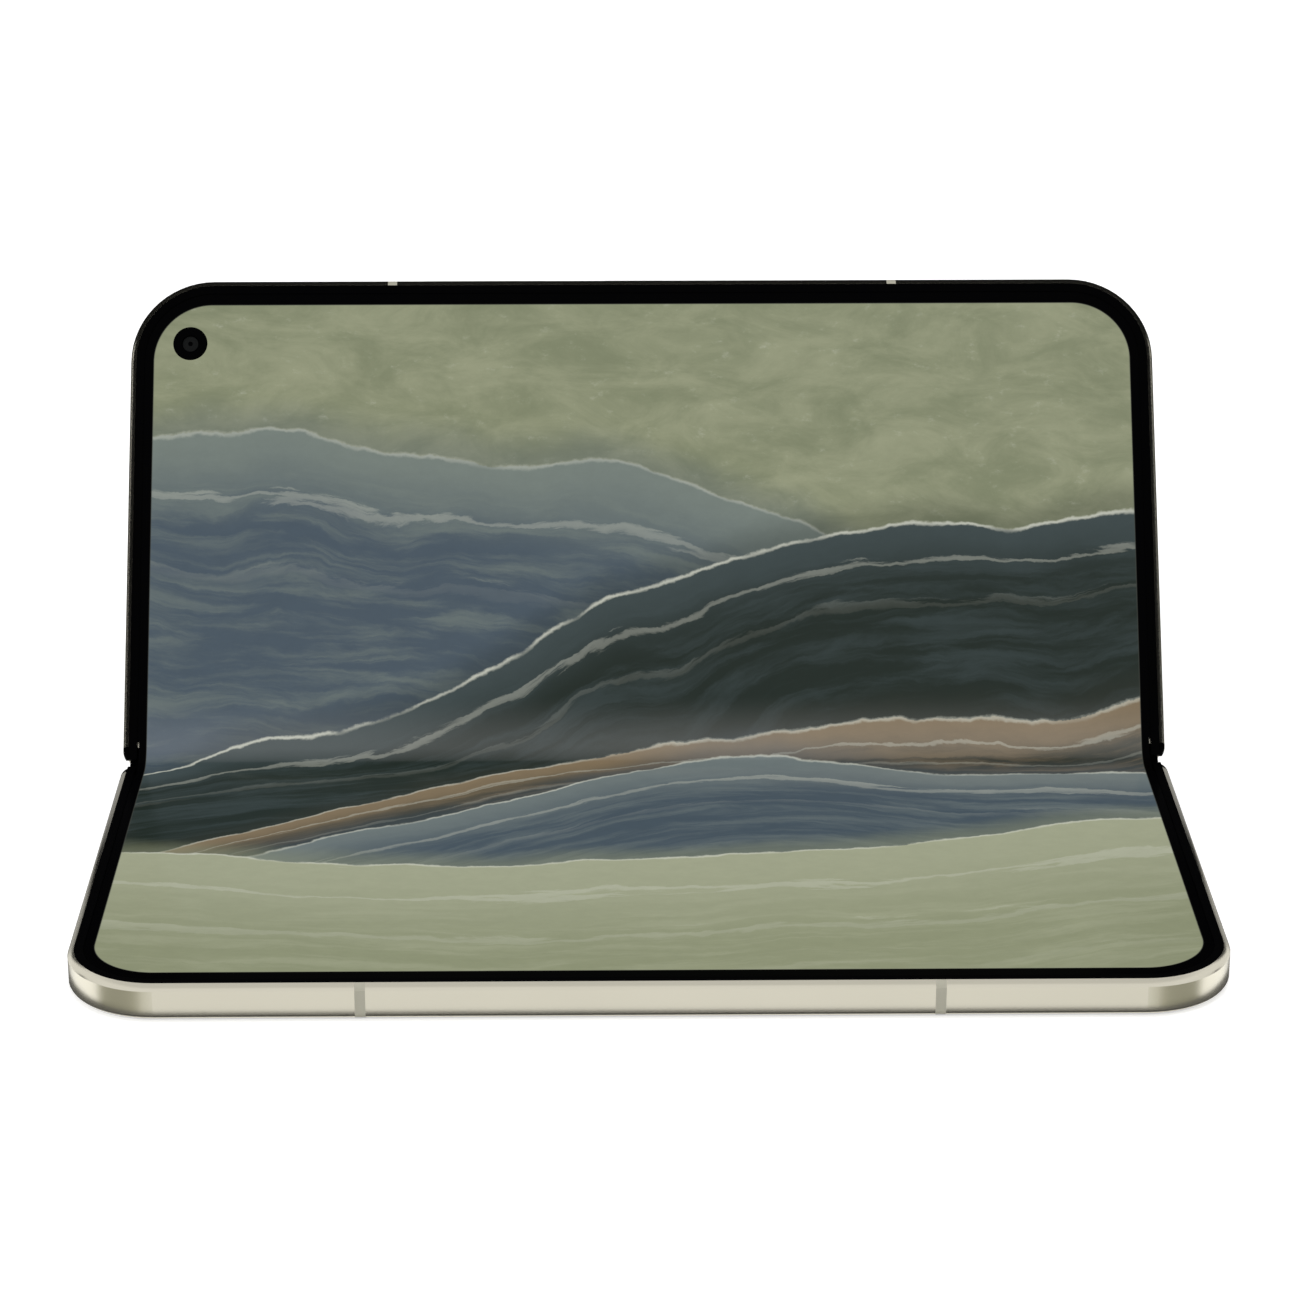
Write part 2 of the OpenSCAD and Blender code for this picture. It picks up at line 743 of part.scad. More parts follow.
// Bracket screwed into a half, with the curved guide that runs in the hinge base
module hinge_brackets(guide) {
    difference() {
        union() {
            in_modules() mirror([0, 1, 0]) guide_arc(guide_r, guide_span, guide);
            in_modules() box(guide, [axis_y + guide_r[0], bracket_y], bracket_z);
            in_modules() box(guide, [nose_y + 2, bracket_y], [bracket_z[0], seat_z]);
        }
        bracket_screw_places(guide) {
            translate([0, 0, bracket_z[0] - cut]) cylinder(r = 0.45, h = 3);
            translate([0, 0, seat_z - 0.4]) cylinder(r = 0.85, h = cut);
        }
    }
}

module hinge_brackets_lower() {
    color(steel) in_lower() hinge_brackets(guide_lower);
}

module hinge_brackets_upper() {
    color(steel) in_upper() hinge_brackets(guide_upper);
}

module bracket_screws(guide) {
    color(steel) bracket_screw_places(guide) {
        translate([0, 0, bracket_z[0] - 1.6]) cylinder(r = 0.38, h = 1.6 - bracket_z[0] + seat_z - 0.3);
        translate([0, 0, seat_z - 0.4]) cylinder(r = 0.8, h = 0.35);
    }
}

module bracket_screws_lower() { in_lower() bracket_screws(guide_lower); }
module bracket_screws_upper() { in_upper() bracket_screws(guide_upper); }

// Ribbon between the two halves: it dips into the spine and passes through a slot in each rail
module hinge_flex_cable() {
    low = [0, -3.2];
    turn = seen_from_spine([4.2, cable_z - 0.45]);
    steps = 8;
    // One side's upper face, from the middle outwards
    side = concat(
        [for (i = [0:steps]) let(t = i / steps)
            [turn[0] * t, low[1] + (turn[1] - low[1]) * (1 - cos(90 * t))]],
        [seen_from_spine([5.2, cable_z]), seen_from_spine([rail_y + 3, cable_z])]);
    last = len(side) - 1;
    upper = concat([for (i = [last:-1:1]) [-side[i][0], side[i][1]]], side);
    color([0.55, 0.35, 0.12]) in_spine() along_x(-cable_w / 2, cable_w / 2) polygon(concat(
        upper, [for (i = [2 * last:-1:0]) upper[i] - [0, cable_t]]));
}

// ---- inside the upper half ----------------------------------------------------------

module camera_island() {
    color(metal) in_upper() difference() {
        translate([lens_x[1], lens_y, island_z]) linear_extrude(island_h + glass_t)
            slot(island_l, island_w);
        for (hole = [[lens_x[0], lens_bore], [lens_x[1], lens_bore], [lens_x[2], lens_bore],
                [flash_x, 1.6], [mic_x, 0.4]])
            translate([hole[0], lens_y, island_z - cut])
                cylinder(r = hole[1], h = island_h + glass_t + 2 * cut);
    }
}

module at_lenses() {
    for (x = lens_x) translate([x, lens_y, island_z]) children();
}

module lens_rings() {
    color(metal) in_upper() at_lenses() rotate_extrude()
        polygon([[window_r, 0], [window_r + 1.1, 0], [window_r + 0.9, -0.45],
            [window_r + 0.7, -0.6], [window_r + 0.15, -0.6], [window_r, -0.5]]);
}

module lens_glasses() {
    color(glass_col) in_upper() at_lenses() translate([0, 0, -0.4]) cylinder(r = window_r - fit, h = 0.4);
}

// Camera module: square holder under the deck with its barrel standing in the island
module rear_camera(i, holder, r) {
    color(dark) in_upper() translate([lens_x[i], lens_y, 0]) {
        slab([-holder / 2, holder / 2], [-holder / 2, holder / 2], [glass_z, deck_z], 1);
        translate([0, 0, island_z + 0.15]) cylinder(r = r, h = island_h + glass_t);
    }
}

module main_camera() { rear_camera(0, 12.4, 4.2); }
module wide_camera() { rear_camera(1, 10.5, 3.6); }
module tele_camera() { rear_camera(2, 11.5, 3.9); }

module flash_lens() {
    color([0.95, 0.93, 0.82]) in_upper() translate([flash_x, lens_y, island_z])
        cylinder(r = 1.6 - fit, h = 1.2);
}

module board_screw_places() {
    for (p = board_screw) translate([p[0], p[1], 0]) children();
}

module board_screw_holes() {
    board_screw_places() translate([0, 0, board_z - cut]) cylinder(r = board_screw_r + 0.1, h = 3);
}

module main_board() {
    color(board_col) in_upper() {
        difference() {
            translate([0, 0, board_z]) linear_extrude(deck_z - board_z) difference() {
                union() {
                    pad([-75, -12], [14.5, 48], 1);
                    pad([-75, -67], [40, 60], 1);
                }
                pad([-14, -10], [25, 37], 0.6);
            }
            board_screw_holes();
        }
        chips([[-74, -69, 50, 58], [-21, -15, 18, 24], [-21, -15, 38, 44]], [-3, board_z + fit]);
    }
}

module board_shields() {
    color(steel) in_upper() {
        slab([-71.5, -47.5], [17, 44.5], [-3.7, board_z], 0.6);
        slab([-44.5, -23], [20, 44], [-3.6, board_z], 0.6);
    }
}

// Flat-headed screws that hold the boards up against the deck
module board_screws() {
    color(steel) in_upper() board_screw_places() {
        translate([0, 0, board_z - 0.4]) cylinder(r = 0.85, h = 0.4);
        translate([0, 0, board_z - fit]) cylinder(r = board_screw_r, h = deck_z - board_z + 0.3);
    }
}

module battery_upper() {
    color(battery_col) in_upper() pouch_cell([-9, 50], [13.5, 68], [-4.15, deck_z]);
}

module charging_coil() {
    color([0.72, 0.40, 0.22]) in_upper() translate([20, 41, glass_z]) difference() {
        cylinder(r = 21, h = 0.35);
        translate([0, 0, -cut]) cylinder(r = 10, h = 3);
    }
}

// Receptacle: a round-ended metal shell with a flat tongue
module usb_port() {
    color(steel) in_upper() translate([hx, port[1], port[2]]) rotate([90, 0, 90]) {
        translate([0, 0, -7.2]) linear_extrude(6.9) difference() {
            slot(port_size[0], port_size[1]);
            slot(port_mouth[0], port_mouth[1]);
        }
        translate([0, 0, -7.6]) linear_extrude(0.41) slot(port_size[0], port_size[1]);
        translate([-3.35, -0.35, -7.3]) cube([6.7, 0.7, 6]);
    }
}

module charge_board() {
    color(board_col) in_upper() {
        difference() {
            translate([0, 0, board_z]) linear_extrude(deck_z - board_z)
                board_outline([53, 76],
                              [[hx - 8, hx + 3, port[1] - 5.3, port[1] + 5.3], [51, 54.5, 48, 60]]);
            board_screw_holes();
        }
        chips([[55, 66, 18, 26], [55, 62, 34, 44]], [-3.1, board_z + fit]);
    }
}

module bottom_speaker() {
    color(dark) in_upper() {
        slab([58, 74.5], [47.5, 64.5], [glass_z + 0.05, board_z], 1.5);
        box([74, hx - wall_t], [49.5, 62.4], [-3.4, board_z]);
    }
}

module button_switches() {
    color(steel) in_upper() for (x = [power_x, volume_x - 7, volume_x + 7]) {
        box([x - 1.8, x + 1.8], [70.6, 71.5], [-3.6, deck_z]);
        translate([x, 71.49, button_z]) rotate([-90, 0, 0]) cylinder(r = 0.7, h = 0.35);
    }
}

// Key with a round-ended face and a flange that keeps it in the wall. room is the flange's
// gap to the wall: a key that rocks needs more of it than one that slides.
module side_key(x, l, room) {
    color(metal) in_upper() {
        translate([x, half_l + button_out, button_z]) rotate([90, 0, 0])
            linear_extrude(button_out + wall_t + room + fit) slot(l, button_h);
        box([x - l / 2 - 0.6, x + l / 2 + 0.6], [key_in, half_l - wall_t - room],
            [button_z - 1, deck_z - 0.05]);
    }
}

module power_button() { side_key(power_x, power_l, 0.05); }
module volume_rocker() { side_key(volume_x, volume_l, 0.3); }

module inner_camera() {
    color(dark) in_upper() translate([punch[0], punch[1], 0]) {
        translate([0, 0, -3]) cylinder(r = 1.9, h = 3 + window_z);
        slab([-3.2, 3.2], [-3.2, 3.2], [-4.2, deck_z], 0.6);
    }
}

module inner_camera_window() {
    color(glass_col) in_upper() translate([punch[0], punch[1], window_z])
        cylinder(r = punch_r - fit, h = -screen_depth - window_z);
}

// ---- draw ---------------------------------------------------------------------------

lower_frame();
lower_antenna_bands();
lower_bezel_trim();
display_lower();
display_plate_lower();
cover_glass();
cover_display_panel();
cover_camera();
battery_lower();
lower_board();
top_speaker();
sim_reader();
vibration_motor();
magnets_lower();
hinge_brackets_lower();
bracket_screws_lower();
sim_tray();
spine_cover();
spine_end_caps();
hinge_base_left();
hinge_base_right();
hinge_shafts();
detent_plates();
disc_springs();
hinge_support_plate();
display_bend();
hinge_flex_cable();
swing_arms_lower();
swing_arms_upper();
idler_gears_lower();
idler_gears_upper();
upper_frame();
upper_antenna_bands();
upper_bezel_trim();
display_upper();
display_plate_upper();
back_glass();
camera_island();
lens_rings();
lens_glasses();
main_camera();
wide_camera();
tele_camera();
flash_lens();
main_board();
board_shields();
board_screws();
battery_upper();
charging_coil();
usb_port();
charge_board();
bottom_speaker();
button_switches();
magnets_upper();
inner_camera();
inner_camera_window();
hinge_brackets_upper();
bracket_screws_upper();
power_button();
volume_rocker();
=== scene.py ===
"""Looks of a folding phone that stands half open on its lower half.

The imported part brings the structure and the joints. This file adds the lit folding screen,
the finishes, and the fine pieces that show up close: lens barrels, contacts, grilles and keys.
Sizes in the classes are millimetres in the part's own layout, and the meshes are in metres.
"""

import cmath
import logging
import math
from dataclasses import dataclass, field
from enum import Enum
from typing import Any, Callable, Sequence

import bmesh
import bpy
from mathutils import Matrix, Vector


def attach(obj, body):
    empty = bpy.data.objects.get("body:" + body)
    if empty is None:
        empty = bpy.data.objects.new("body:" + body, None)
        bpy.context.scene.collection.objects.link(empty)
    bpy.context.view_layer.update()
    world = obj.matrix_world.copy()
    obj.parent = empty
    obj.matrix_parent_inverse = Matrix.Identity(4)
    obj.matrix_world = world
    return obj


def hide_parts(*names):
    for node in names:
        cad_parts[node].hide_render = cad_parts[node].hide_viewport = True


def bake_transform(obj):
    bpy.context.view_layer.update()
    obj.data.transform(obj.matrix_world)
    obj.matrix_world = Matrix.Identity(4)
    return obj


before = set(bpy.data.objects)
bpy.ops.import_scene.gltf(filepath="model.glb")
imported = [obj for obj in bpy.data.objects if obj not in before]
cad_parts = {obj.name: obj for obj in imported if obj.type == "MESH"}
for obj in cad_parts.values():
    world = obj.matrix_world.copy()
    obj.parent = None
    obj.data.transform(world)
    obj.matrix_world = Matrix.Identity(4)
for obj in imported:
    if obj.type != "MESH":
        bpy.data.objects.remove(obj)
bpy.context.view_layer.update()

LOG = logging.getLogger("phone")
MM = 0.001
Value = Any
Point = tuple[float, float]
Triple = tuple[float, float, float]
Window = tuple[float, float, float, float]
Colour = Triple
Piece = bpy.types.Object
Section = tuple[Point, ...]
Points = Sequence[Sequence[float]]
Placer = Callable[[float, float, float], Vector]
Row = list[bmesh.types.BMVert]


def tone(red: float, green: float, blue: float) -> Colour:
    """A screen colour from 0 to 255 as the linear values that the shaders take.

    Args:
        red: Red as it should render.
        green: Green as it should render.
        blue: Blue as it should render.

    Returns:
        The linear colour.
    """

    def linear(level: float) -> float:
        """One channel, made linear."""
        part = level / 255
        return part / 12.92 if part <= 0.04045 else ((part + 0.055) / 1.055) ** 2.4

    return linear(red), linear(green), linear(blue)


def scaled(colour: Colour, share: float) -> Colour:
    """A colour times share, with no channel above 1."""
    return tuple(min(1.0, channel * share) for channel in colour)


def arc(centre: Point, radius: float, start: float, sweep: float, steps: int) -> list[Point]:
    """Points along an arc.

    Args:
        centre: Its centre.
        radius: Its radius.
        start: The first point's angle in degrees.
        sweep: Degrees from the first point to the last.
        steps: Segments between them.

    Returns:
        One point more than there are segments.
    """
    x, y = centre
    angles = [math.radians(start + sweep * k / steps) for k in range(steps + 1)]
    return [(x + radius * math.cos(angle), y + radius * math.sin(angle)) for angle in angles]


def round_slot(length: float, height: float, steps: int = 12) -> list[Point]:
    """A slot with round ends about the origin, anticlockwise.

    Args:
        length: Over all.
        height: Over all, which is the ends' diameter.
        steps: Segments in each end.

    Returns:
        Its points.
    """
    radius, half = height / 2, (length - height) / 2
    return arc((half, 0), radius, -90, 180, steps) + arc((-half, 0), radius, 90, 180, steps)


def dome(radius: float, steps: int, rise: float) -> list[Point]:
    """The section of a domed lens from its middle to its rim, with 8 degrees a step.

    Args:
        radius: The lens's radius.
        steps: Steps from the middle to the rim.
        rise: How much the dome would rise over a quarter of a turn.

    Returns:
        For each step its distance from the axis and its drop below the middle.
    """
    angles = [math.radians(8 * k) for k in range(steps + 1)]
    share = radius / math.sin(angles[-1])
    return [(share * math.sin(angle), rise * (1 - math.cos(angle))) for angle in angles]


# ---- where things stand --------------------------------------------------------------


class Body(Enum):
    """The moving bodies of the phone that pieces ride on."""

    LOWER = "lower_half"
    SPINE = "spine"
    UPPER = "upper_half"
    POWER = "power_button"
    VOLUME = "volume_rocker"


@dataclass(frozen=True)
class Layout:
    """Sizes that the halves share, and where each half stands in the row frame."""

    half_width: float = 77.6
    half_length: float = 75.1
    thickness: float = 5.1
    corner_radius: float = 12.5
    axis_y: float = 1.475
    axis_depth: float = 1.325
    lean: float = math.radians(29)
    screen_top: float = -0.15
    screen_bottom: float = -0.75
    bend_start: float = 2.95
    flat_start: float = 4.0

    def _turned(self, point: Point, centre: Point, angle: float) -> Point:
        """A point across the hinge, turned about a fold axis."""
        there = complex(*centre) + (complex(*point) - complex(*centre)) * cmath.rect(1, angle)
        return there.real, there.imag

    def _world(self, x: float, flat: Point) -> Vector:
        """A point of the flat layout in the row frame, in metres."""
        return Vector((x, flat[0] + self.half_length / 2, flat[1] + self.thickness)) * MM

    def lower(self, x: float, away: float, z: float) -> Vector:
        """A point of the lower half: along the hinge, away from it, and up from the bezel."""
        return self._world(x, (-away, z))

    def spine(self, x: float, y: float, z: float) -> Vector:
        """A point of the spine, drawn as if the phone were flat."""
        return self._world(x, self._turned((y, z), (-self.axis_y, -self.axis_depth), self.lean))

    def leant(self, away: float, z: float) -> Point:
        """A point of the upper half, as y and z on the spine's flat drawing."""
        return self._turned((away, z), (self.axis_y, -self.axis_depth), self.lean)

    def upper(self, x: float, away: float, z: float) -> Vector:
        """A point of the upper half: along the hinge, away from it, and up from the bezel."""
        return self.spine(x, *self.leant(away, z))

    def about(self, point: Triple) -> Placer:
        """The function that places local millimetres about a point of the upper half."""
        return lambda x, away, z: self.upper(point[0] + x, point[1] + away, point[2] + z)

    def on(self, body: Body) -> Placer:
        """The function that places local millimetres of a body in the row frame."""
        return {Body.LOWER: self.lower, Body.SPINE: self.spine}.get(body, self.upper)

    def outline(self, inset: float, start: float, steps: int = 20) -> list[Point]:
        """The outline of a half, drawn in by inset, round its two free corners.

        Args:
            inset: How far inside the outer face it runs.
            start: Distance from the hinge line at which it starts.
            steps: Segments in each corner.

        Returns:
            Points anticlockwise, seen from the screen side of a half whose hinge is at the bottom.
        """
        radius = self.corner_radius - inset
        side = self.half_width - self.corner_radius
        end = self.half_length - self.corner_radius
        return [(-side - radius, start), (side + radius, start),
                *arc((side, end), radius, 0, 90, steps), *arc((-side, end), radius, 90, 90, steps)]


LAYOUT = Layout()


# ---- node trees ----------------------------------------------------------------------


class Term:
    """An output of a node tree, which takes plain arithmetic if it is a number."""

    def __init__(self, nodes: "Nodes", socket: bpy.types.NodeSocket) -> None:
        """Wraps an output socket of these nodes."""
        self.nodes, self.socket = nodes, socket

    def __add__(self, other: Value) -> "Term":
        """This number plus another one."""
        return self.nodes.math("ADD", self, other)

    def __sub__(self, other: Value) -> "Term":
        """This number less another one."""
        return self.nodes.math("SUBTRACT", self, other)

    def __rsub__(self, other: Value) -> "Term":
        """A plain number less this one."""
        return self.nodes.math("SUBTRACT", other, self)

    def __mul__(self, other: Value) -> "Term":
        """This number times another one."""
        return self.nodes.math("MULTIPLY", self, other)

    def size(self) -> "Term":
        """This number without its sign."""
        return self.nodes.math("ABSOLUTE", self)

    def step(self, low: Value, high: Value) -> "Term":
        """A soft step from 0 at low to 1 at high."""
        made = self.nodes.node("ShaderNodeMapRange", interpolation_type="SMOOTHSTEP")
        return self.nodes.fed(made, self, low, high, 0.0, 1.0)

    def fall(self, low: Value, high: Value) -> "Term":
        """A soft step from 1 at low to 0 at high."""
        return 1.0 - self.step(low, high)

    def window(self, start: float, full: float, last: float, end: float) -> "Term":
        """1 from full to last, falling softly to 0 at start and at end."""
        return self.step(start, full) * self.fall(last, end)


class Nodes:
    """A node tree, with short calls that add nodes and feed their inputs."""

    def __init__(self, tree: bpy.types.NodeTree) -> None:
        """Takes over a node tree and empties it."""
        self.tree = tree
        self.tree.nodes.clear()

    def node(self, kind: str, **settings: Value) -> bpy.types.Node:
        """A new node.

        Args:
            kind: Its type.
            **settings: Its settings by name.

        Returns:
            The node.
        """
        made = self.tree.nodes.new(kind)
        for key, value in settings.items():
            setattr(made, key, value)
        return made

    def feed(self, socket: bpy.types.NodeSocket, value: Value) -> None:
        """Links value to the socket, or sets it there if it is plain.

        Args:
            socket: The input socket.
            value: A term, an output socket, a number, a vector, a colour, an object or a material.
        """
        value = value.socket if isinstance(value, Term) else value
        if isinstance(value, bpy.types.NodeSocket):
            self.tree.links.new(value, socket)
        elif isinstance(value, tuple) and len(socket.default_value) > len(value):
            socket.default_value = (*value, 1.0)
        else:
            socket.default_value = value

    def fed(self, made: bpy.types.Node, *values: Value, output: int | str = 0) -> Term:
        """Feeds a node's first inputs in order, where None leaves one as it is.

        Args:
            made: The node.
            *values: The inputs' values.
            output: The output to return.

        Returns:
            One output of the node.
        """
        for socket, value in zip(made.inputs, values):
            if value is not None:
                self.feed(socket, value)
        return Term(self, made.outputs[output])

    def wired(self, kind: str, *values: Value, output: int | str = 0, **inputs: Value) -> Term:
        """A new node with its inputs fed.

        Args:
            kind: The node's type.
            *values: Its first inputs in order.
            output: The output to return.
            **inputs: Inputs by name, with underscores for spaces.

        Returns:
            One output of the node.
        """
        made = self.node(kind)
        for key, value in inputs.items():
            self.feed(made.inputs[key.replace("_", " ")], value)
        return self.fed(made, *values, output=output)

    def math(self, kind: str, *values: Value, clamp: bool = False) -> Term:
        """The result of one math node."""
        return self.fed(self.node("ShaderNodeMath", operation=kind, use_clamp=clamp), *values)

    def joined(self, *parts: Value) -> Term:
        """A vector from its three parts."""
        return self.wired("ShaderNodeCombineXYZ", *parts)


class Graph(Nodes):
    """The nodes of a material or the world, with short calls for those that the finishes use."""

    def __init__(self, owner: bpy.types.Material | bpy.types.World) -> None:
        """Starts an empty shader.

        Args:
            owner: The material or the world that it is for.
        """
        owner.use_nodes = True
        super().__init__(owner.node_tree)
        self.owner = owner

    def vector(self, kind: str, *values: Value) -> Term:
        """The vector that one vector math node makes."""
        return self.fed(self.node("ShaderNodeVectorMath", operation=kind), *values)

    def length(self, vector: Term) -> Term:
        """The length of a vector."""
        made = self.node("ShaderNodeVectorMath", operation="LENGTH")
        return self.fed(made, vector, output="Value")

    def parts(self, vector: Term) -> list[Term]:
        """The x, y and z of a vector."""
        made = self.node("ShaderNodeSeparateXYZ")
        return [self.fed(made, vector, output=axis) for axis in range(3)]

    def noise(self, at: Value, scale: float, detail: float, roughness: float = 0.5,
              distortion: float = 0.0) -> Term:
        """A noise value about one half."""
        return self.wired("ShaderNodeTexNoise", output="Fac", Vector=at, Scale=scale, Detail=detail,
                          Roughness=roughness, Distortion=distortion)

    def stretched(self, at: Value, scale: Sequence[float], turn: float = 0.0,
                  shift: Sequence[float] = (0, 0, 0)) -> Term:
        """Coordinates scaled, turned about z and shifted."""
        return self.wired("ShaderNodeMapping", Vector=at, Scale=scale, Location=shift,
                          Rotation=(0, 0, turn))

    def mix(self, share: Value, a: Value, b: Value) -> Term:
        """Colour a at share 0 and colour b at share 1."""
        made = self.node("ShaderNodeMix", data_type="RGBA")
        return self.fed(made, share, *[None] * 5, a, b, output=2)

    def places(self, kind: str = "Object") -> Term:
        """Object coordinates, or another kind of them."""
        return Term(self, self.node("ShaderNodeTexCoord").outputs[kind])

    def bump(self, height: Term, strength: float, distance: float = 0.02 * MM) -> Term:
        """A normal from a height, with distance in metres."""
        return self.wired("ShaderNodeBump", Strength=strength, Distance=distance, Height=height)

    def end(self, shader: Term) -> bpy.types.Material | bpy.types.World:
        """Ends the graph in a shader, and returns its owner."""
        self.feed(self.node("ShaderNodeOutput" + type(self.owner).__name__).inputs[0], shader)
        return self.owner

    def close(self, **inputs: Value) -> bpy.types.Material:
        """Ends the material in a Principled shader with these inputs, by name."""
        return self.end(self.wired("ShaderNodeBsdfPrincipled", **inputs))


# ---- finishes ------------------------------------------------------------------------


@dataclass(frozen=True)
class Finish:
    """A surface finish. Each kind draws its own material once."""

    name: str

    def draw(self, graph: Graph) -> bpy.types.Material:
        """Draws the material's nodes."""
        raise NotImplementedError

    def material(self) -> bpy.types.Material:
        """The material of this finish, made on first use."""
        kept = bpy.data.materials.get(self.name)
        return kept or self.draw(Graph(bpy.data.materials.new(self.name)))


@dataclass(frozen=True)
class SatinMetal(Finish):
    """Bead-blasted and anodised metal with a fine even grain."""

    colour: Colour
    roughness: float = 0.24
    grain: float = 9000.0
    relief: float = 0.06
    streak: Triple = (1.0, 1.0, 1.0)
    spread: float = 0.06

    def draw(self, graph: Graph) -> bpy.types.Material:
        """Draws fine grain in colour, gloss and relief over broad, faint clouding.

        Args:
            graph: The material's nodes.

        Returns:
            The material.
        """
        at = graph.stretched(graph.places(), self.streak)
        fine = graph.noise(at, self.grain, 2)
        return graph.close(
            Base_Color=graph.mix(graph.noise(at, 60, 3), scaled(self.colour, 0.93), self.colour),
            Metallic=1.0, Roughness=fine * self.spread + (self.roughness - self.spread / 2),
            Normal=graph.bump(fine, self.relief))


@dataclass(frozen=True)
class Moulded(Finish):
    """Moulded plastic, laminate or solder mask with fine spark texture."""

    colour: Colour
    roughness: float = 0.4
    texture: float = 4000.0
    relief: float = 0.1
    gloss: float = 0.5
    spread: float = 0.12

    def draw(self, graph: Graph) -> bpy.types.Material:
        """Draws a finely textured surface with a little colour variation.

        Args:
            graph: The material's nodes.

        Returns:
            The material.
        """
        at = graph.places()
        fine = graph.noise(at, self.texture, 3, 0.6)
        return graph.close(
            Base_Color=graph.mix(graph.noise(at, 120, 2), scaled(self.colour, 0.85), self.colour),
            Roughness=fine * self.spread + (self.roughness - self.spread / 2),
            Specular_IOR_Level=self.gloss, Normal=graph.bump(fine, self.relief))


@dataclass(frozen=True)
class EtchedGlass(Finish):
    """Back glass: etched to a soft sheen, with a pearl pigment under it."""

    colour: Colour
    roughness: float = 0.33

    def draw(self, graph: Graph) -> bpy.types.Material:
        """Draws pearl flakes and clouding under an even satin surface.

        Args:
            graph: The material's nodes.

        Returns:
            The material.
        """
        at = graph.places()
        flakes = graph.noise(at, 14000, 1)
        clouds = graph.noise(at, 25, 3)
        pale = scaled(self.colour, 1.06)
        colour = graph.mix(clouds * 0.7 + 0.1, scaled(self.colour, 0.95), pale)
        return graph.close(
            Base_Color=graph.mix(flakes.step(0.62, 0.7), colour, pale), Metallic=0.35,
            Roughness=self.roughness, Normal=graph.bump(graph.noise(at, 9000, 2), 0.05, 0.01 * MM),
            Coat_Weight=0.25, Coat_Roughness=0.25)


@dataclass(frozen=True)
class DarkGlass(Finish):
    """Polished glass over a black print, with faint wiping marks in its gloss."""

    colour: Colour = (0.004, 0.004, 0.005)
    roughness: float = 0.05

    def draw(self, graph: Graph) -> bpy.types.Material:
        """Draws black glass whose gloss varies a little.

        Args:
            graph: The material's nodes.

        Returns:
            The material.
        """
        marks = graph.noise(graph.stretched(graph.places(), (40, 260, 260), 0.5), 1.0, 4, 0.6)
        return graph.close(Base_Color=self.colour, Specular_IOR_Level=0.5,
                           Roughness=marks.step(0.4, 0.8) * 0.03 + self.roughness)


@dataclass(frozen=True)
class ClearGlass(Finish):
    """Clear coated lens cover, which mirrors little."""

    tint: Colour = (0.93, 0.95, 1.0)

    def draw(self, graph: Graph) -> bpy.types.Material:
        """Draws clear glass with a trace of coating in its tint.

        Args:
            graph: The material's nodes.

        Returns:
            The material.
        """
        broad = graph.noise(graph.places(), 200, 1)
        return graph.close(Base_Color=graph.mix(broad, self.tint, scaled(self.tint, 0.97)),
                           Roughness=0.0, Transmission_Weight=1.0, IOR=1.12,
                           Specular_IOR_Level=0.3)


@dataclass(frozen=True)
class LensCoating(Finish):
    """The domed front element of a camera, with its coloured coating."""

    middle: Colour
    rim: Colour

    def draw(self, graph: Graph) -> bpy.types.Material:
        """Draws a dark element whose coating shows more towards its rim.

        Args:
            graph: The material's nodes.

        Returns:
            The material.
        """
        facing = graph.wired("ShaderNodeLayerWeight", output="Facing", Blend=0.35)
        return graph.close(
            Base_Color=graph.mix(facing, self.middle, self.rim),
            Roughness=graph.noise(graph.places(), 900, 2) * 0.06,
            Specular_IOR_Level=0.8, Specular_Tint=(0.42, 0.36, 1.0),
            Coat_Weight=0.3, Coat_Roughness=0.0, Coat_Tint=(0.5, 0.9, 0.8))


@dataclass(frozen=True)
class Stratum:
    """One layer of the picture. It covers all that lies below its upper edge."""

    level: float
    slope: float
    wave: float
    turns: float
    phase: float
    sway: float
    crest: Colour
    depth: Colour
    fade: float
    bands: float
    line: float


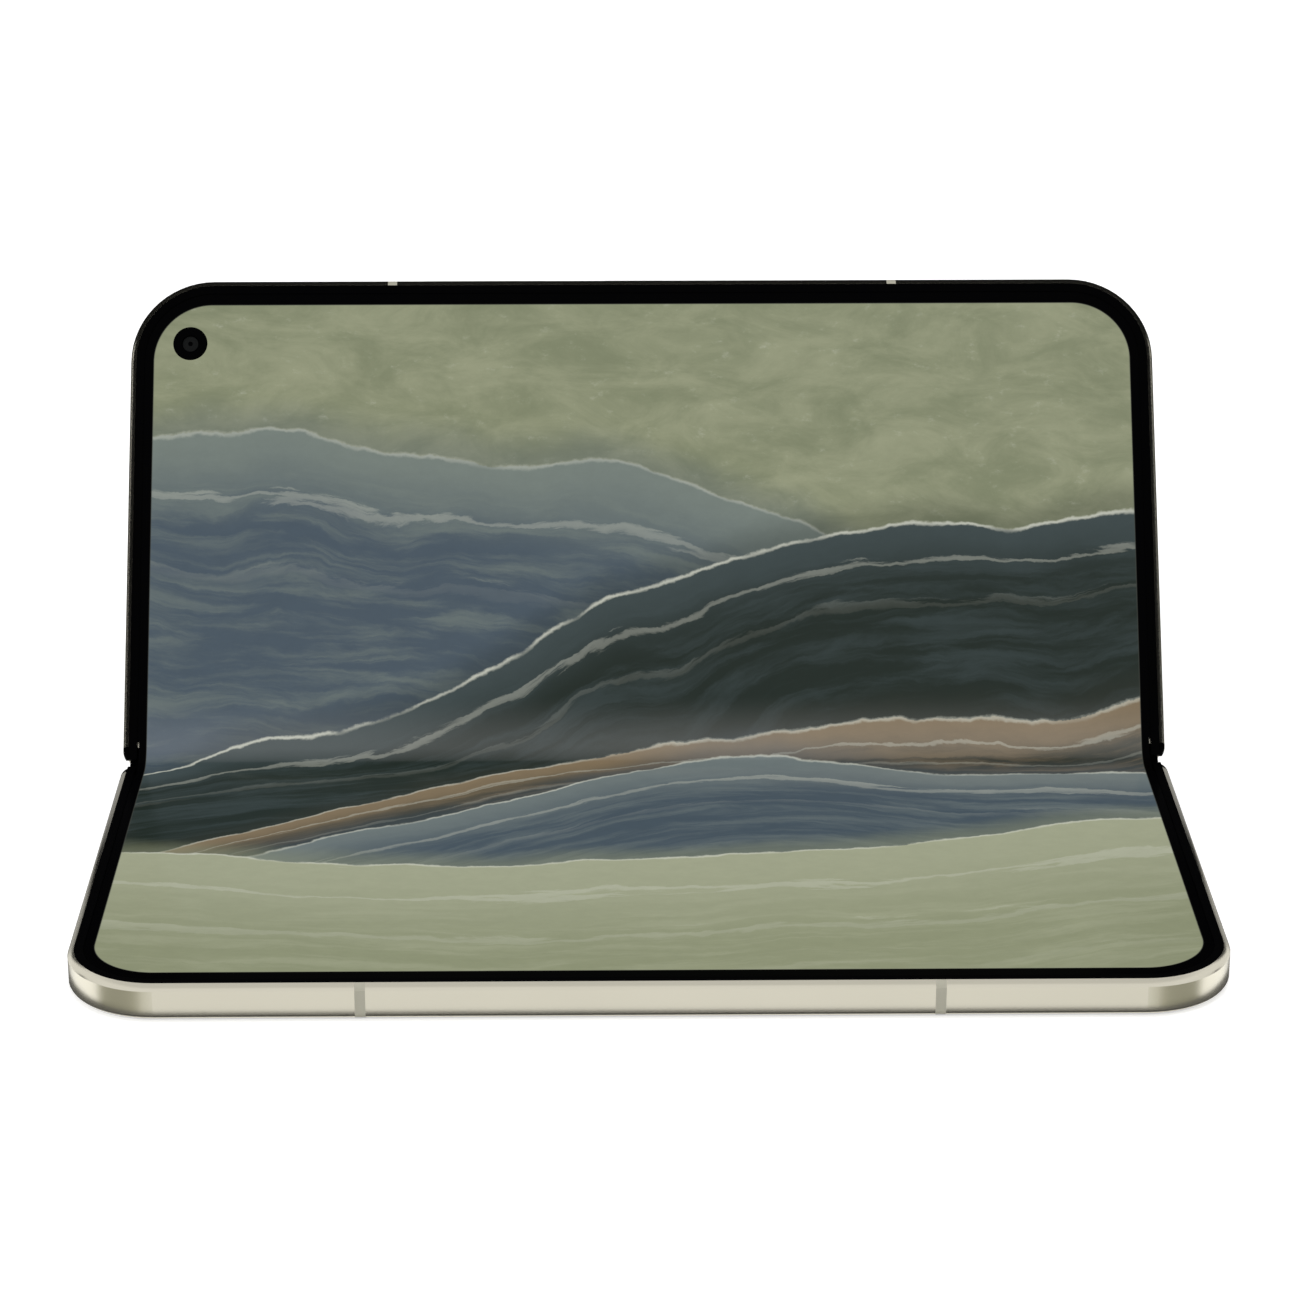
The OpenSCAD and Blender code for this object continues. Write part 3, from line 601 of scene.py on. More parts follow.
@dataclass(frozen=True)
class LitPicture(Finish):
    """The lit folding screen: layered mineral strata inside a black border.

    The piece's UV map holds the place on the unfolded screen in units of 100 mm.
    """

    half_width: float = 0.7405
    half_length: float = 0.7095
    centre: float = 0.0025
    radius: float = 0.088
    sage: Colour = tone(151, 155, 127)
    sage_deep: Colour = tone(128, 134, 107)
    pale: Colour = tone(206, 208, 194)
    rim: Colour = tone(74, 76, 70)
    print_black: Colour = (0.001, 0.001, 0.0012)
    strata: tuple[Stratum, ...] = (
        Stratum(0.40, -0.10, 0.10, 3.1, 2.9, 0.42,
                tone(118, 128, 122), tone(74, 87, 98), 0.16, 60, 0.35),
        Stratum(0.20, 0.10, 0.09, 2.6, 0.4, 0.46,
                tone(62, 73, 74), tone(34, 43, 38), 0.10, 95, 0.80),
        Stratum(-0.02, 0.34, 0.05, 4.1, 1.9, 0.34,
                tone(128, 112, 88), tone(52, 54, 46), 0.085, 150, 0.45),
        Stratum(-0.13, 0.17, 0.08, 3.3, 0.9, 0.30,
                tone(108, 118, 118), tone(70, 83, 93), 0.12, 80, 0.55),
        Stratum(-0.31, 0.10, 0.07, 2.4, 4.4, 0.26,
                tone(160, 164, 138), tone(140, 145, 117), 0.30, 48, 0.60),
    )

    def _border(self, graph: Graph, x: Term, y: Term) -> Term:
        """Signed distance to the lit area's edge, below 0 inside it.

        Args:
            graph: The material's nodes.
            x: The place along the hinge.
            y: The place across it.

        Returns:
            The distance.
        """
        across = x.size() - (self.half_width - self.radius)
        along = (y - self.centre).size() - (self.half_length - self.radius)
        past = [graph.math("MAXIMUM", way, 0.0) for way in (across, along)]
        outer = graph.math("SQRT", past[0] * past[0] + past[1] * past[1])
        inner = graph.math("MINIMUM", graph.math("MAXIMUM", across, along), 0.0)
        return outer + inner - self.radius

    def _line(self, distance: Term, centre: float, width: float) -> Term:
        """A thin line where distance is about centre, 1 on it and 0 off it."""
        return (distance - centre).size().fall(0.0, width)

    def _layer(self, graph: Graph, stratum: Stratum, index: int, uv: Term, behind: Value) -> Term:
        """Lays one stratum over the picture behind it.

        Args:
            graph: The material's nodes.
            stratum: The layer.
            index: Its number, which moves its noise.
            uv: The place on the screen.
            behind: The colour behind it.

        Returns:
            The colour with this layer over it.
        """
        x, y, _ = graph.parts(uv)
        broad = graph.noise(graph.stretched(uv, (1, 0.6, 1), 0, (3.7 * index, 1.3, index)), 1.3, 2,
                            0.45)
        rough = graph.noise(graph.stretched(uv, (1, 1, 1), 0, (index, 2.1 * index, 0)), 7.0, 8, 0.6)
        bow = graph.math("SINE", x * stratum.turns + stratum.phase)
        height = bow * stratum.wave + (x * stratum.slope + stratum.level)
        height = height + (broad * stratum.sway - stratum.sway / 2) + (rough * 0.045 - 0.022)
        above = y - height
        depth = above * -1.0
        behind = graph.mix(above.fall(0.0, 0.06) * 0.4, behind, stratum.depth)

        fibre = graph.noise(graph.joined(x * 2.0, depth * 16.0, float(index)), 2.2, 9, 0.62, 0.5)
        faded = depth.step(0.0, broad * stratum.fade + stratum.fade * 0.5)
        colour = graph.mix(faded, stratum.crest, stratum.depth)
        colour = graph.mix(fibre.step(0.42, 0.7) * 0.55, colour, stratum.crest)
        bands = graph.math("SINE", fibre * 5.0 + depth * stratum.bands).step(0.86, 1.0)
        bands = bands * depth.fall(0.02, stratum.fade * 1.6)
        colour = graph.mix(bands * 0.28, colour, self.pale)
        colour = graph.mix(graph.math("GREATER_THAN", above, 0.0), colour, behind)
        crest = self._line(above, -0.001, 0.0045) * rough.step(0.3, 0.55)
        return graph.mix(crest * stratum.line, colour, self.pale)

    def draw(self, graph: Graph) -> bpy.types.Material:
        """Draws the strata from back to front, and masks them to the lit area.

        Args:
            graph: The material's nodes.

        Returns:
            The material.
        """
        uv = Term(graph, graph.node("ShaderNodeUVMap", uv_map="Unfolded").outputs[0])
        x, y, _ = graph.parts(uv)
        mottle = graph.noise(graph.stretched(uv, (1, 2.2, 1), 0.3), 7, 10, 0.66, 0.6)
        speck = graph.noise(graph.stretched(uv, (1, 1.6, 1), 0.2), 30, 8, 0.72)
        body = graph.mix(mottle.step(0.3, 0.7), self.sage_deep, self.sage)
        body = graph.mix(speck.step(0.56, 0.78) * 0.3, body, self.pale)
        for index, stratum in enumerate(self.strata, 1):
            body = self._layer(graph, stratum, index, uv, body)
        grain = (speck * 0.30 + 0.85).step(0.92, 1.08)
        body = graph.mix(grain, graph.vector("SCALE", body, None, None, 0.93), body)

        crease = y.step(-0.012, 0.022) * y.fall(0.03, 0.11)
        edge = self._border(graph, x, y)
        lit = graph.math("LESS_THAN", edge, 0.0)
        glowing = graph.mix(lit, (0.0, 0.0, 0.0), body)
        return graph.close(
            Base_Color=self.print_black, Roughness=0.2,
            Specular_IOR_Level=lit * (crease * 0.75 + 0.10) + 0.006,
            Emission_Color=graph.mix(self._line(edge, 0.0, 0.0014) * 0.45, glowing, self.rim),
            Emission_Strength=1.0)


class Palette(Enum):
    """The finishes of this phone, by what they dress."""

    FRAME = SatinMetal("champagne frame", tone(233, 228, 210))
    SPINE = SatinMetal("champagne spine", tone(224, 219, 201), 0.2, relief=0.05,
                       streak=(0.02, 1, 1))
    LENS_RING = SatinMetal("turned lens ring", tone(205, 200, 182), 0.16)
    STEEL = SatinMetal("machined steel", tone(176, 178, 182), 0.28, 5000.0, 0.1)
    SPRING = SatinMetal("spring steel", tone(140, 142, 148), 0.25)
    GEAR = SatinMetal("gear bronze", tone(200, 164, 104), 0.26)
    COPPER = SatinMetal("enamelled copper", tone(196, 116, 74), 0.22)
    GOLD = SatinMetal("gold contact", tone(222, 184, 112), 0.18)
    CARRIER = SatinMetal("carrier plate", tone(120, 124, 130), 0.35)
    POUCH = SatinMetal("cell pouch", tone(64, 67, 72), 0.38, 3000.0, 0.15)
    BAND = Moulded("antenna plastic", tone(186, 183, 166), 0.42)
    BEZEL = Moulded("bezel trim", (0.0008, 0.0008, 0.001), 0.55, gloss=0.012)
    BLACK = Moulded("black print", (0.0008, 0.0008, 0.001), 0.6, gloss=0.015)
    MESH = Moulded("grille mesh", (0.02, 0.02, 0.019), 0.5, gloss=0.3)
    MODULE = Moulded("moulded module", (0.008, 0.008, 0.009), 0.5, gloss=0.3)
    BARREL = Moulded("blackened barrel", (0.002, 0.002, 0.0022), 0.45, gloss=0.2)
    BOARD = Moulded("solder mask", tone(22, 66, 52), 0.35, 2600.0)
    FLEX = Moulded("polyimide ribbon", tone(158, 96, 38), 0.3)
    FLASH = Moulded("flash lens", tone(246, 236, 200), 0.15, 2500.0, 0.3)
    BACK = EtchedGlass("etched back glass", tone(214, 210, 194))
    COVER = DarkGlass("cover glass")
    CLEAR = ClearGlass("lens cover glass")
    COATING = LensCoating("coated element", tone(10, 12, 26), tone(58, 40, 92))
    PUPIL = Moulded("inner lens", tone(19, 20, 20), 0.3, gloss=0.06)
    PICTURE = LitPicture("lit screen")

    def dress(self, *pieces: Piece) -> None:
        """Gives pieces this finish alone.

        Args:
            *pieces: The pieces.
        """
        for piece in pieces:
            piece.data.materials.clear()
            piece.data.materials.append(self.value.material())


# ---- mesh building -------------------------------------------------------------------


def placed(name: str, data: bpy.types.ID) -> Piece:
    """A new object of this data in the scene."""
    bpy.context.scene.collection.objects.link(made := bpy.data.objects.new(name, data))
    return made


def in_metres(x: float, y: float, z: float) -> Vector:
    """Places the millimetres of a small seed piece about the origin."""
    return Vector((x, y, z)) * MM


class Mesher:
    """Collects the points and faces of one piece, and makes its object."""

    def __init__(self, name: str, place: Placer) -> None:
        """Starts an empty piece, with the function that places its local millimetres."""
        self.name, self.place = name, place
        self.grid = bmesh.new()

    def ring(self, points: Points) -> Row:
        """Adds points, each local x, y and z in millimetres."""
        return [self.grid.verts.new(self.place(*p)) for p in points]

    def face(self, corners: Row, finish: int) -> None:
        """Adds one face in a material slot."""
        self.grid.faces.new(corners).material_index = finish

    def strip(self, a: Row, b: Row, closed: bool = True, finish: int = 0) -> None:
        """Faces between two rows of equal length.

        Args:
            a: The first row.
            b: The second row.
            closed: Whether the rows are loops.
            finish: The material slot.
        """
        for i in range(len(a) if closed else len(a) - 1):
            j = (i + 1) % len(a)
            self.face([a[i], a[j], b[j], b[i]], finish)

    def fill(self, *loops: Row, finish: int = 0) -> None:
        """Fills a flat region.

        Args:
            *loops: Its border, and those of its holes.
            finish: The material slot.
        """
        edges = [self.grid.edges.get(pair) or self.grid.edges.new(pair)
                 for loop in loops for pair in zip(loop, [*loop[1:], *loop[:1]])]
        made = bmesh.ops.triangle_fill(self.grid, edges=edges, use_beauty=True)
        for item in made["geom"]:
            if isinstance(item, bmesh.types.BMFace):
                item.material_index = finish

    def loft(self, rings: Sequence[Points], finish: int = 0) -> None:
        """A closed solid with a flat cap at each end.

        Args:
            rings: The loops that it runs through, of local points.
            finish: The material slot.
        """
        rows = [self.ring(r) for r in rings]
        for a, b in zip(rows, rows[1:]):
            self.strip(a, b, finish=finish)
        self.face(rows[0], finish)
        self.face(rows[-1], finish)

    def turn(self, profile: Sequence[Point], centre: Point, steps: int = 48,
             finish: int = 0) -> None:
        """A turned piece: profile points are radius and local z, about a local z line at centre.

        Args:
            profile: From the axis, round the section and back to the axis. A radius of 0 is a pole.
            centre: The axis's local x and y.
            steps: Segments round it.
            finish: The material slot.
        """
        rows = []
        for radius, z in profile:
            around = arc(centre, radius, 0, 360, steps)[:-1] if radius else [centre]
            rows.append(self.ring([(*point, z) for point in around]))
        closed = len(rows[0]) > 1 and len(rows[-1]) > 1
        for a, b in zip(rows, [*rows[1:], rows[0]] if closed else rows[1:]):
            if len(a) == len(b):
                self.strip(a, b, finish=finish)
                continue
            (pole,), row = sorted((a, b), key=len)
            for i in range(steps):
                self.face([pole, row[i], row[(i + 1) % steps]], finish)

    def done(self, *finishes: Palette, smooth: float = 35) -> Piece:
        """Closes the mesh, turns its faces outwards and makes the object.

        Args:
            *finishes: One finish for each material slot.
            smooth: Edges sharper than this many degrees stay crisp.

        Returns:
            The piece, which rides on nothing yet.
        """
        bmesh.ops.recalc_face_normals(self.grid, faces=self.grid.faces[:])
        limit = math.radians(smooth)
        for face in self.grid.faces:
            face.smooth = True
        for edge in self.grid.edges:
            edge.smooth = len(edge.link_faces) == 2 and edge.calc_face_angle(0.0) < limit
        data = bpy.data.meshes.new(self.name)
        self.grid.to_mesh(data)
        self.grid.free()
        for finish in finishes:
            data.materials.append(finish.value.material())
        return placed(self.name, data)


def mount(piece: Piece, body: Body, slot: str, *replaced: str) -> None:
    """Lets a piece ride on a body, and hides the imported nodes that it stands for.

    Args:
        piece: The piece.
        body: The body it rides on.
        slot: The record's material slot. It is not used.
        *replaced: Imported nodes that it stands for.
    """
    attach(piece, body.value)
    if replaced:
        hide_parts(*replaced)
    LOG.info("%s on %s", piece.name, body.value)


@dataclass(frozen=True)
class Bend:
    """Where two sheets bend between the halves and the spine."""

    away: float
    level: float
    middle: float

    def apply(self, pieces: Sequence[Piece], slot: str,
              *replaced: Sequence[str]) -> None:
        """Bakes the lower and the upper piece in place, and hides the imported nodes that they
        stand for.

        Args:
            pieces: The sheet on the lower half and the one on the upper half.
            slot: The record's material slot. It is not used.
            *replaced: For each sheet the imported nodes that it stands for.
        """
        lower, upper = pieces
        middle = tuple(LAYOUT.spine(0, 0, self.middle))
        ends = [tuple(place(0, self.away, self.level)) for place in (LAYOUT.lower, LAYOUT.upper)]
        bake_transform(lower)
        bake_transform(upper)
        for piece, names in zip(pieces, replaced):
            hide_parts(*names)
        for piece in pieces:
            LOG.info("%s bends over the hinge", piece.name)


# ---- the folding screen --------------------------------------------------------------


@dataclass(frozen=True)
class FoldingScreen:
    """The screen that runs over the fold, as two sheets curved as they stand at rest, meeting at
    the spine's middle.
    """

    bend_half_width: float = 75.2
    flat_inset: float = 1.54
    punch: Point = (-68.6, 65.2)
    punch_radius: float = 2.6
    rows: int = 26
    first_row: float = 0.012
    columns: int = 24
    corner_steps: int = 24
    punch_steps: int = 48

    def _bend_rows(self, side: int, surface: float) -> list[Triple]:
        """Rows across the bend from the spine's middle to the flat, on one surface.

        Args:
            side: 1 for the upper half and -1 for the lower.
            surface: Height of this surface in the halves, such as the screen's top.

        Returns:
            For each row its y and z as drawn on the spine, and its distance on the unfolded screen.
        """
        end_y, end_z = LAYOUT.leant(LAYOUT.bend_start, LAYOUT.screen_top)
        radius = end_y / math.sin(LAYOUT.lean)
        centre_z = end_z + radius * math.cos(LAYOUT.lean)
        reach = radius + (LAYOUT.screen_top - surface)
        shares = [0.0, self.first_row] + [k / self.rows for k in range(1, self.rows + 1)]
        return [(side * reach * math.sin(LAYOUT.lean * share),
                 centre_z - reach * math.cos(LAYOUT.lean * share), LAYOUT.bend_start * share)
                for share in shares]

    def _surface(self, maker: Mesher, side: int, finish: int,
                 unfolded: dict[bmesh.types.BMVert, Point]) -> tuple[Row, Row]:
        """The top of a sheet or its underside.

        Args:
            maker: The sheet's mesh.
            side: 1 for the upper half and -1 for the lower.
            finish: The material slot, 0 for the top and 1 for the underside.
            unfolded: Takes each point's place on the unfolded screen.

        Returns:
            Its border, and the edge of the camera's hole if it has one.
        """
        level = (LAYOUT.screen_top, LAYOUT.screen_bottom)[finish]
        across = [self.bend_half_width * (2 * i / self.columns - 1)
                  for i in range(self.columns + 1)]

        def flat(points: Sequence[Point]) -> Row:
            """Adds points of the flat part.

            Args:
                points: Along the hinge, and away from it.

            Returns:
                The points added.
            """
            made = maker.ring([(*point, level) for point in points])
            unfolded.update(zip(made, points))
            return made

        rows = []
        for y, z, away in self._bend_rows(side, level):
            rows.append([maker.grid.verts.new(LAYOUT.spine(x, y, z)) for x in across])
            unfolded.update(zip(rows[-1], [(x, away) for x in across]))
        rows.append(flat([(x, LAYOUT.flat_start) for x in across]))
        outline = LAYOUT.outline(self.flat_inset, LAYOUT.flat_start, self.corner_steps)
        loop = [*rows[-1], *flat([*outline[1:], outline[0]])]
        punched = arc(self.punch, self.punch_radius, 0, 360, self.punch_steps)[:-1]
        hole = flat(punched) if side > 0 else []
        for a, b in zip(rows, rows[1:]):
            maker.strip(a, b, closed=False, finish=finish)
        maker.fill(loop, hole, finish=finish)
        start, end = ([row[i] for row in rows[:-1]] for i in (0, -1))
        return [*reversed(start), *rows[0][1:-1], *end, *loop[self.columns:], loop[0]], hole

    def _sheet(self, name: str, body: Body) -> Piece:
        """One sheet, from the spine's middle to the free edge of a half.

        Args:
            name: Its name.
            body: The half.

        Returns:
            The sheet.
        """
        side = 1 if body is Body.UPPER else -1
        maker = Mesher(name, LAYOUT.on(body))
        unfolded: dict[bmesh.types.BMVert, Point] = {}
        top, underside = (self._surface(maker, side, finish, unfolded) for finish in (0, 1))
        for a, b in zip(top, underside):
            maker.strip(a, b, finish=1)
        layer = maker.grid.loops.layers.uv.new("Unfolded")
        for face in maker.grid.faces:
            for corner in face.loops:
                x, away = unfolded[corner.vert]
                corner[layer].uv = (x / 100, side * away / 100)
        return maker.done(Palette.PICTURE, Palette.BLACK)

    def build(self) -> None:
        """Builds both sheets, curved as they stand at rest, and hides the imported display nodes.
        """
        sheets = (self._sheet("screen_lower", Body.LOWER), self._sheet("screen_upper", Body.UPPER))
        bend = Bend(LAYOUT.bend_start, LAYOUT.screen_top, LAYOUT.screen_top)
        bend.apply(sheets, "screen", ["display_lower"], ["display_upper", "display_bend"])


# ---- ribbon between the halves -------------------------------------------------------


@dataclass(frozen=True)
class HingeRibbon:
    """The flat cable through the hinge, as two strips curved as they stand at rest."""

    half_width: float = 7.0
    thick: float = 0.15
    level: float = -1.52
    dip: float = 0.45
    low: float = -3.2
    bend_end: float = 4.2
    flat_start: float = 7.0
    end: float = 10.0
    rows: int = 18

    def _line(self, body: Body) -> list[Vector]:
        """The run of a strip's top, from the spine's middle to its end under a deck.

        Args:
            body: The half that the strip ends in.

        Returns:
            Points in the row frame, in metres.
        """
        side = 1 if body is Body.UPPER else -1
        half = LAYOUT.on(body)
        y, z = LAYOUT.leant(self.bend_end, self.level - self.dip)
        quarter = math.pi / 2 / self.rows
        line = [LAYOUT.spine(0, side * y * k / self.rows,
                             self.low + (z - self.low) * (1 - math.cos(quarter * k)))
                for k in range(self.rows)]
        line += [half(0, self.bend_end + run, self.level - self.dip * (1 - run))
                 for run in (0.0, 0.35, 0.7, 1.0)]
        return [*line, half(0, self.flat_start, self.level), half(0, self.end, self.level)]

    def _strip(self, name: str, body: Body) -> Piece:
        """One strip, with its thickness below its line.

        Args:
            name: Its name.
            body: The half that it ends in.

        Returns:
            The strip.
        """
        line = self._line(body)
        across = [self.half_width * MM * share for share in (-1, -1 / 3, 1 / 3, 1)]
        maker = Mesher(name, lambda x, y, z: Vector((x, y, z)))
        rows = []
        for k, point in enumerate(line):
            ahead = (line[min(k + 1, len(line) - 1)] - line[max(k - 1, 0)]).normalized()
            normal = Vector((0, -ahead.z, ahead.y)) * (1 if ahead.y > 0 else -1)
            if k == 0:
                normal = (LAYOUT.spine(0, 0, 1) - LAYOUT.spine(0, 0, 0)).normalized()
            below = point - normal * self.thick * MM
            rows.append([(x, point.y, point.z) for x in across]
                        + [(x, below.y, below.z) for x in reversed(across)])
        maker.loft(rows)
        return maker.done(Palette.FLEX)

    def build(self) -> None:
        """Builds both strips, curved as they stand at rest, and hides the imported cable."""
        strips = (self._strip("hinge_ribbon_lower", Body.LOWER),
                  self._strip("hinge_ribbon_upper", Body.UPPER))
        Bend(self.bend_end, self.level, self.low).apply(strips, "flex", ["hinge_flex_cable"])


# ---- repeating pieces, made with geometry nodes --------------------------------------


class Pattern(Nodes):
    """A geometry nodes tree that repeats one small piece, turned to a plain mesh."""

    def __init__(self, name: str, inputs: dict[str, tuple[str, Value]]) -> None:
        """Starts a tree.

        Args:
            name: The tree's and the piece's name.
            inputs: For each named input its socket type and value.
        """
        super().__init__(bpy.data.node_groups.new(name, "GeometryNodeTree"))
        self.name = name
        self.values = {key: value for key, (_, value) in inputs.items()}
        sockets = self.tree.interface
        sockets.new_socket("Geometry", in_out="OUTPUT", socket_type="NodeSocketGeometry")
        for key, (kind, _) in inputs.items():
            sockets.new_socket(key, in_out="INPUT", socket_type="NodeSocket" + kind)
        given = self.node("NodeGroupInput").outputs
        self.given = {key: Term(self, given[key]) for key in inputs}

    def repeated(self, points: Term, instance: Term, **inputs: Value) -> Term:
        """Instances of one thing on points."""
        return self.wired("GeometryNodeInstanceOnPoints", Points=points, Instance=instance,
                          **inputs)

    def copied(self, given: str) -> Term:
        """The geometry of an object input."""
        return self.wired("GeometryNodeObjectInfo", output="Geometry", Object=self.given[given])

    def _mesh(self) -> bpy.types.Mesh:
        """Evaluates the tree on a passing object, with the inputs' values.

        Returns:
            The mesh.
        """
        holder = placed(self.name + " tree", bpy.data.meshes.new(self.name + " seed"))
        modifier = holder.modifiers.new(self.name, "NODES")
        modifier.node_group = self.tree
        for item in self.tree.interface.items_tree:
            if item.in_out == "INPUT":
                modifier[item.identifier] = self.values[item.name]
        bpy.context.view_layer.update()
        graph = bpy.context.evaluated_depsgraph_get()
        data = bpy.data.meshes.new_from_object(holder.evaluated_get(graph))
        holder.modifiers.clear()
        bpy.data.objects.remove(holder)
        return data

    def done(self, geometry: Term, finish: Palette, place: Placer) -> Piece:
        """Ends the tree, evaluates it and puts the plain mesh in place.

        Args:
            geometry: What the tree has made.
            finish: Its finish.
            place: Puts local millimetres into the row frame.

        Returns:
            The piece, which rides on nothing yet.
        """
        real = self.wired("GeometryNodeRealizeInstances", Geometry=geometry)
        dressed = self.wired("GeometryNodeSetMaterial", Geometry=real,
                             Material=finish.value.material())
        self.feed(self.node("NodeGroupOutput").inputs[0], dressed)
        data = self._mesh()
        for vertex in data.vertices:
            vertex.co = place(*(part / MM for part in vertex.co))
        data.name = self.name
        grid = bmesh.new()
        grid.from_mesh(data)
        bmesh.ops.recalc_face_normals(grid, faces=grid.faces[:])
        grid.to_mesh(data)
        grid.free()
        return placed(self.name, data)


@dataclass(frozen=True)
class ChargingCoil:
    """The wound charging coil behind the back glass."""

    centre: Triple = (20.0, 41.0, -4.42)
    inner: float = 10.0
    outer: float = 21.0
    wire: float = 0.17
    turns: int = 26
    turn_steps: int = 72
    wire_steps: int = 8

    def build(self) -> None:
        """Sets the turns side by side and rides them on the upper half."""
        pitch = (self.outer - self.inner - 2 * self.wire) / (self.turns - 1)
        pattern = Pattern("charging_coil_winding", {
            "Turns": ("Int", self.turns), "Inner radius": ("Float", (self.inner + self.wire) * MM),
            "Pitch": ("Float", pitch * MM), "Wire radius": ("Float", self.wire * MM)})
        given = pattern.given
        points = pattern.wired("GeometryNodePoints", Count=given["Turns"])
        circle = pattern.wired("GeometryNodeCurvePrimitiveCircle", Radius=1.0,
                               Resolution=self.turn_steps)
        radius = pattern.wired("GeometryNodeInputIndex") * given["Pitch"] + given["Inner radius"]
        rings = pattern.repeated(points, circle, Scale=radius)
        curves = pattern.wired("GeometryNodeRealizeInstances", Geometry=rings)
        section = pattern.wired("GeometryNodeCurvePrimitiveCircle", Radius=given["Wire radius"],
                                Resolution=self.wire_steps)
        wound = pattern.wired("GeometryNodeCurveToMesh", Curve=curves, Profile_Curve=section)
        piece = pattern.done(wound, Palette.COPPER, LAYOUT.about(self.centre))
        mount(piece, Body.UPPER, "copper", "charging_coil")


@dataclass(frozen=True)
class Contacts:
    """The gold contacts on both faces of the port's tongue."""

    middle: Triple = (73.9, 37.5, -2.8)
    count: int = 12
    pitch: float = 0.5
    rise: float = 0.35
    length: float = 3.6
    width: float = 0.26
    end_steps: int = 5
    layers: tuple[Triple, ...] = ((1, 1, 0.0), (1, 1, 0.05), (0.98, 0.8, 0.07))

    def _bar(self) -> Piece:
        """One contact: a slim bar with round ends and a drawn-in top, along local x.

        Returns:
            The piece.
        """
        maker = Mesher("contact seed", in_metres)
        outline = round_slot(self.length, self.width, self.end_steps)
        maker.loft([[(x * long, y * wide, z) for x, y in outline]
                    for long, wide, z in self.layers])
        return maker.done()

    def build(self) -> None:
        """Sets a row of contacts on each face of the tongue."""
        seed = self._bar()
        pattern = Pattern("usb_contacts", {
            "Count": ("Int", self.count), "Pitch": ("Float", self.pitch * MM),
            "Rise": ("Float", self.rise * MM), "Contact": ("Object", seed)})
        given = pattern.given
        rows = pattern.node("GeometryNodeJoinGeometry")
        for side, turned in ((1, 0.0), (-1, math.pi)):
            start = pattern.joined(0.0, given["Pitch"] * (-(self.count - 1) / 2),
                                   given["Rise"] * side)
            line = pattern.wired("GeometryNodeMeshLine", Count=given["Count"], Start_Location=start,
                                 Offset=pattern.joined(0.0, given["Pitch"]))
            row = pattern.repeated(line, pattern.copied("Contact"), Rotation=(turned, 0.0, 0.0))
            pattern.feed(rows.inputs[0], row)
        piece = pattern.done(Term(pattern, rows.outputs[0]), Palette.GOLD,
                             LAYOUT.about(self.middle))
        bpy.data.objects.remove(seed)
        mount(piece, Body.UPPER, "gear_brass")


@dataclass(frozen=True)
class GrilleMesh:
    """Fine perforated mesh behind the sound openings of one half."""

    name: str
    body: Body
    side: int
    slots: tuple[float, ...]
    slot_size: Point = (1.96, 0.96)
    z: float = -2.6
    inset: float = 0.9
    thick: float = 0.12
    opening_pitch: float = 3.0
    plate_steps: int = 8
    knots: tuple[int, int] = (10, 5)
    knot_pitch: float = 0.17
    knot: Section = ((0.0, 0.05), (0.045, 0.035), (0.065, 0.0), (0.0, 0.0))
    knot_steps: int = 6

    def _place(self, along: float, up: float, out: float) -> Vector:
        """A point about the first opening, seen from outside, in the row frame."""
        x = self.side * (LAYOUT.half_width - self.inset + out)
        return LAYOUT.on(self.body)(x, self.slots[0] + along, self.z + up)

    def _plates(self) -> Piece:
        """A thin rounded plate behind each opening, which carries the knots.

        Returns:
            The piece.
        """
        maker = Mesher(self.name, self._place)
        for y in self.slots:
            outline = round_slot(*self.slot_size, self.plate_steps)
            maker.loft([[(y - self.slots[0] + a, b, out) for a, b in outline]
                        for out in (-self.thick, 0.0)])
        return maker.done(Palette.BLACK)

    def _knot(self) -> Piece:
        """A small shallow dome that stands for one knot of the mesh.

        Returns:
            The piece.
        """
        maker = Mesher("knot seed", in_metres)
        maker.turn(self.knot, (0, 0), self.knot_steps)
        return maker.done()

    def build(self) -> None:
        """Sets a grid of knots behind every opening."""
        mount(self._plates(), self.body, "module_black")
        seed = self._knot()
        pattern = Pattern(self.name + "_knots", {
            "Openings": ("Int", len(self.slots)), "Knot": ("Object", seed),
            "Columns": ("Int", self.knots[0]), "Rows": ("Int", self.knots[1]),
            "Opening pitch": ("Float", self.opening_pitch * MM),
            "Knot pitch": ("Float", self.knot_pitch * MM)})
        given = pattern.given
        columns, rows, pitch = given["Columns"], given["Rows"], given["Knot pitch"]
        grid = pattern.wired("GeometryNodeMeshGrid", Vertices_X=columns, Vertices_Y=rows,
                             Size_X=(columns - 1) * pitch, Size_Y=(rows - 1) * pitch)
        patch = pattern.repeated(grid, pattern.copied("Knot"))
        line = pattern.wired("GeometryNodeMeshLine", Count=given["Openings"],
                             Offset=pattern.joined(given["Opening pitch"]))
        every = pattern.repeated(line, patch)
        piece = pattern.done(every, Palette.MESH, self._place)
        bpy.data.objects.remove(seed)
        mount(piece, self.body, "module_black")


# ---- cameras -------------------------------------------------------------------------


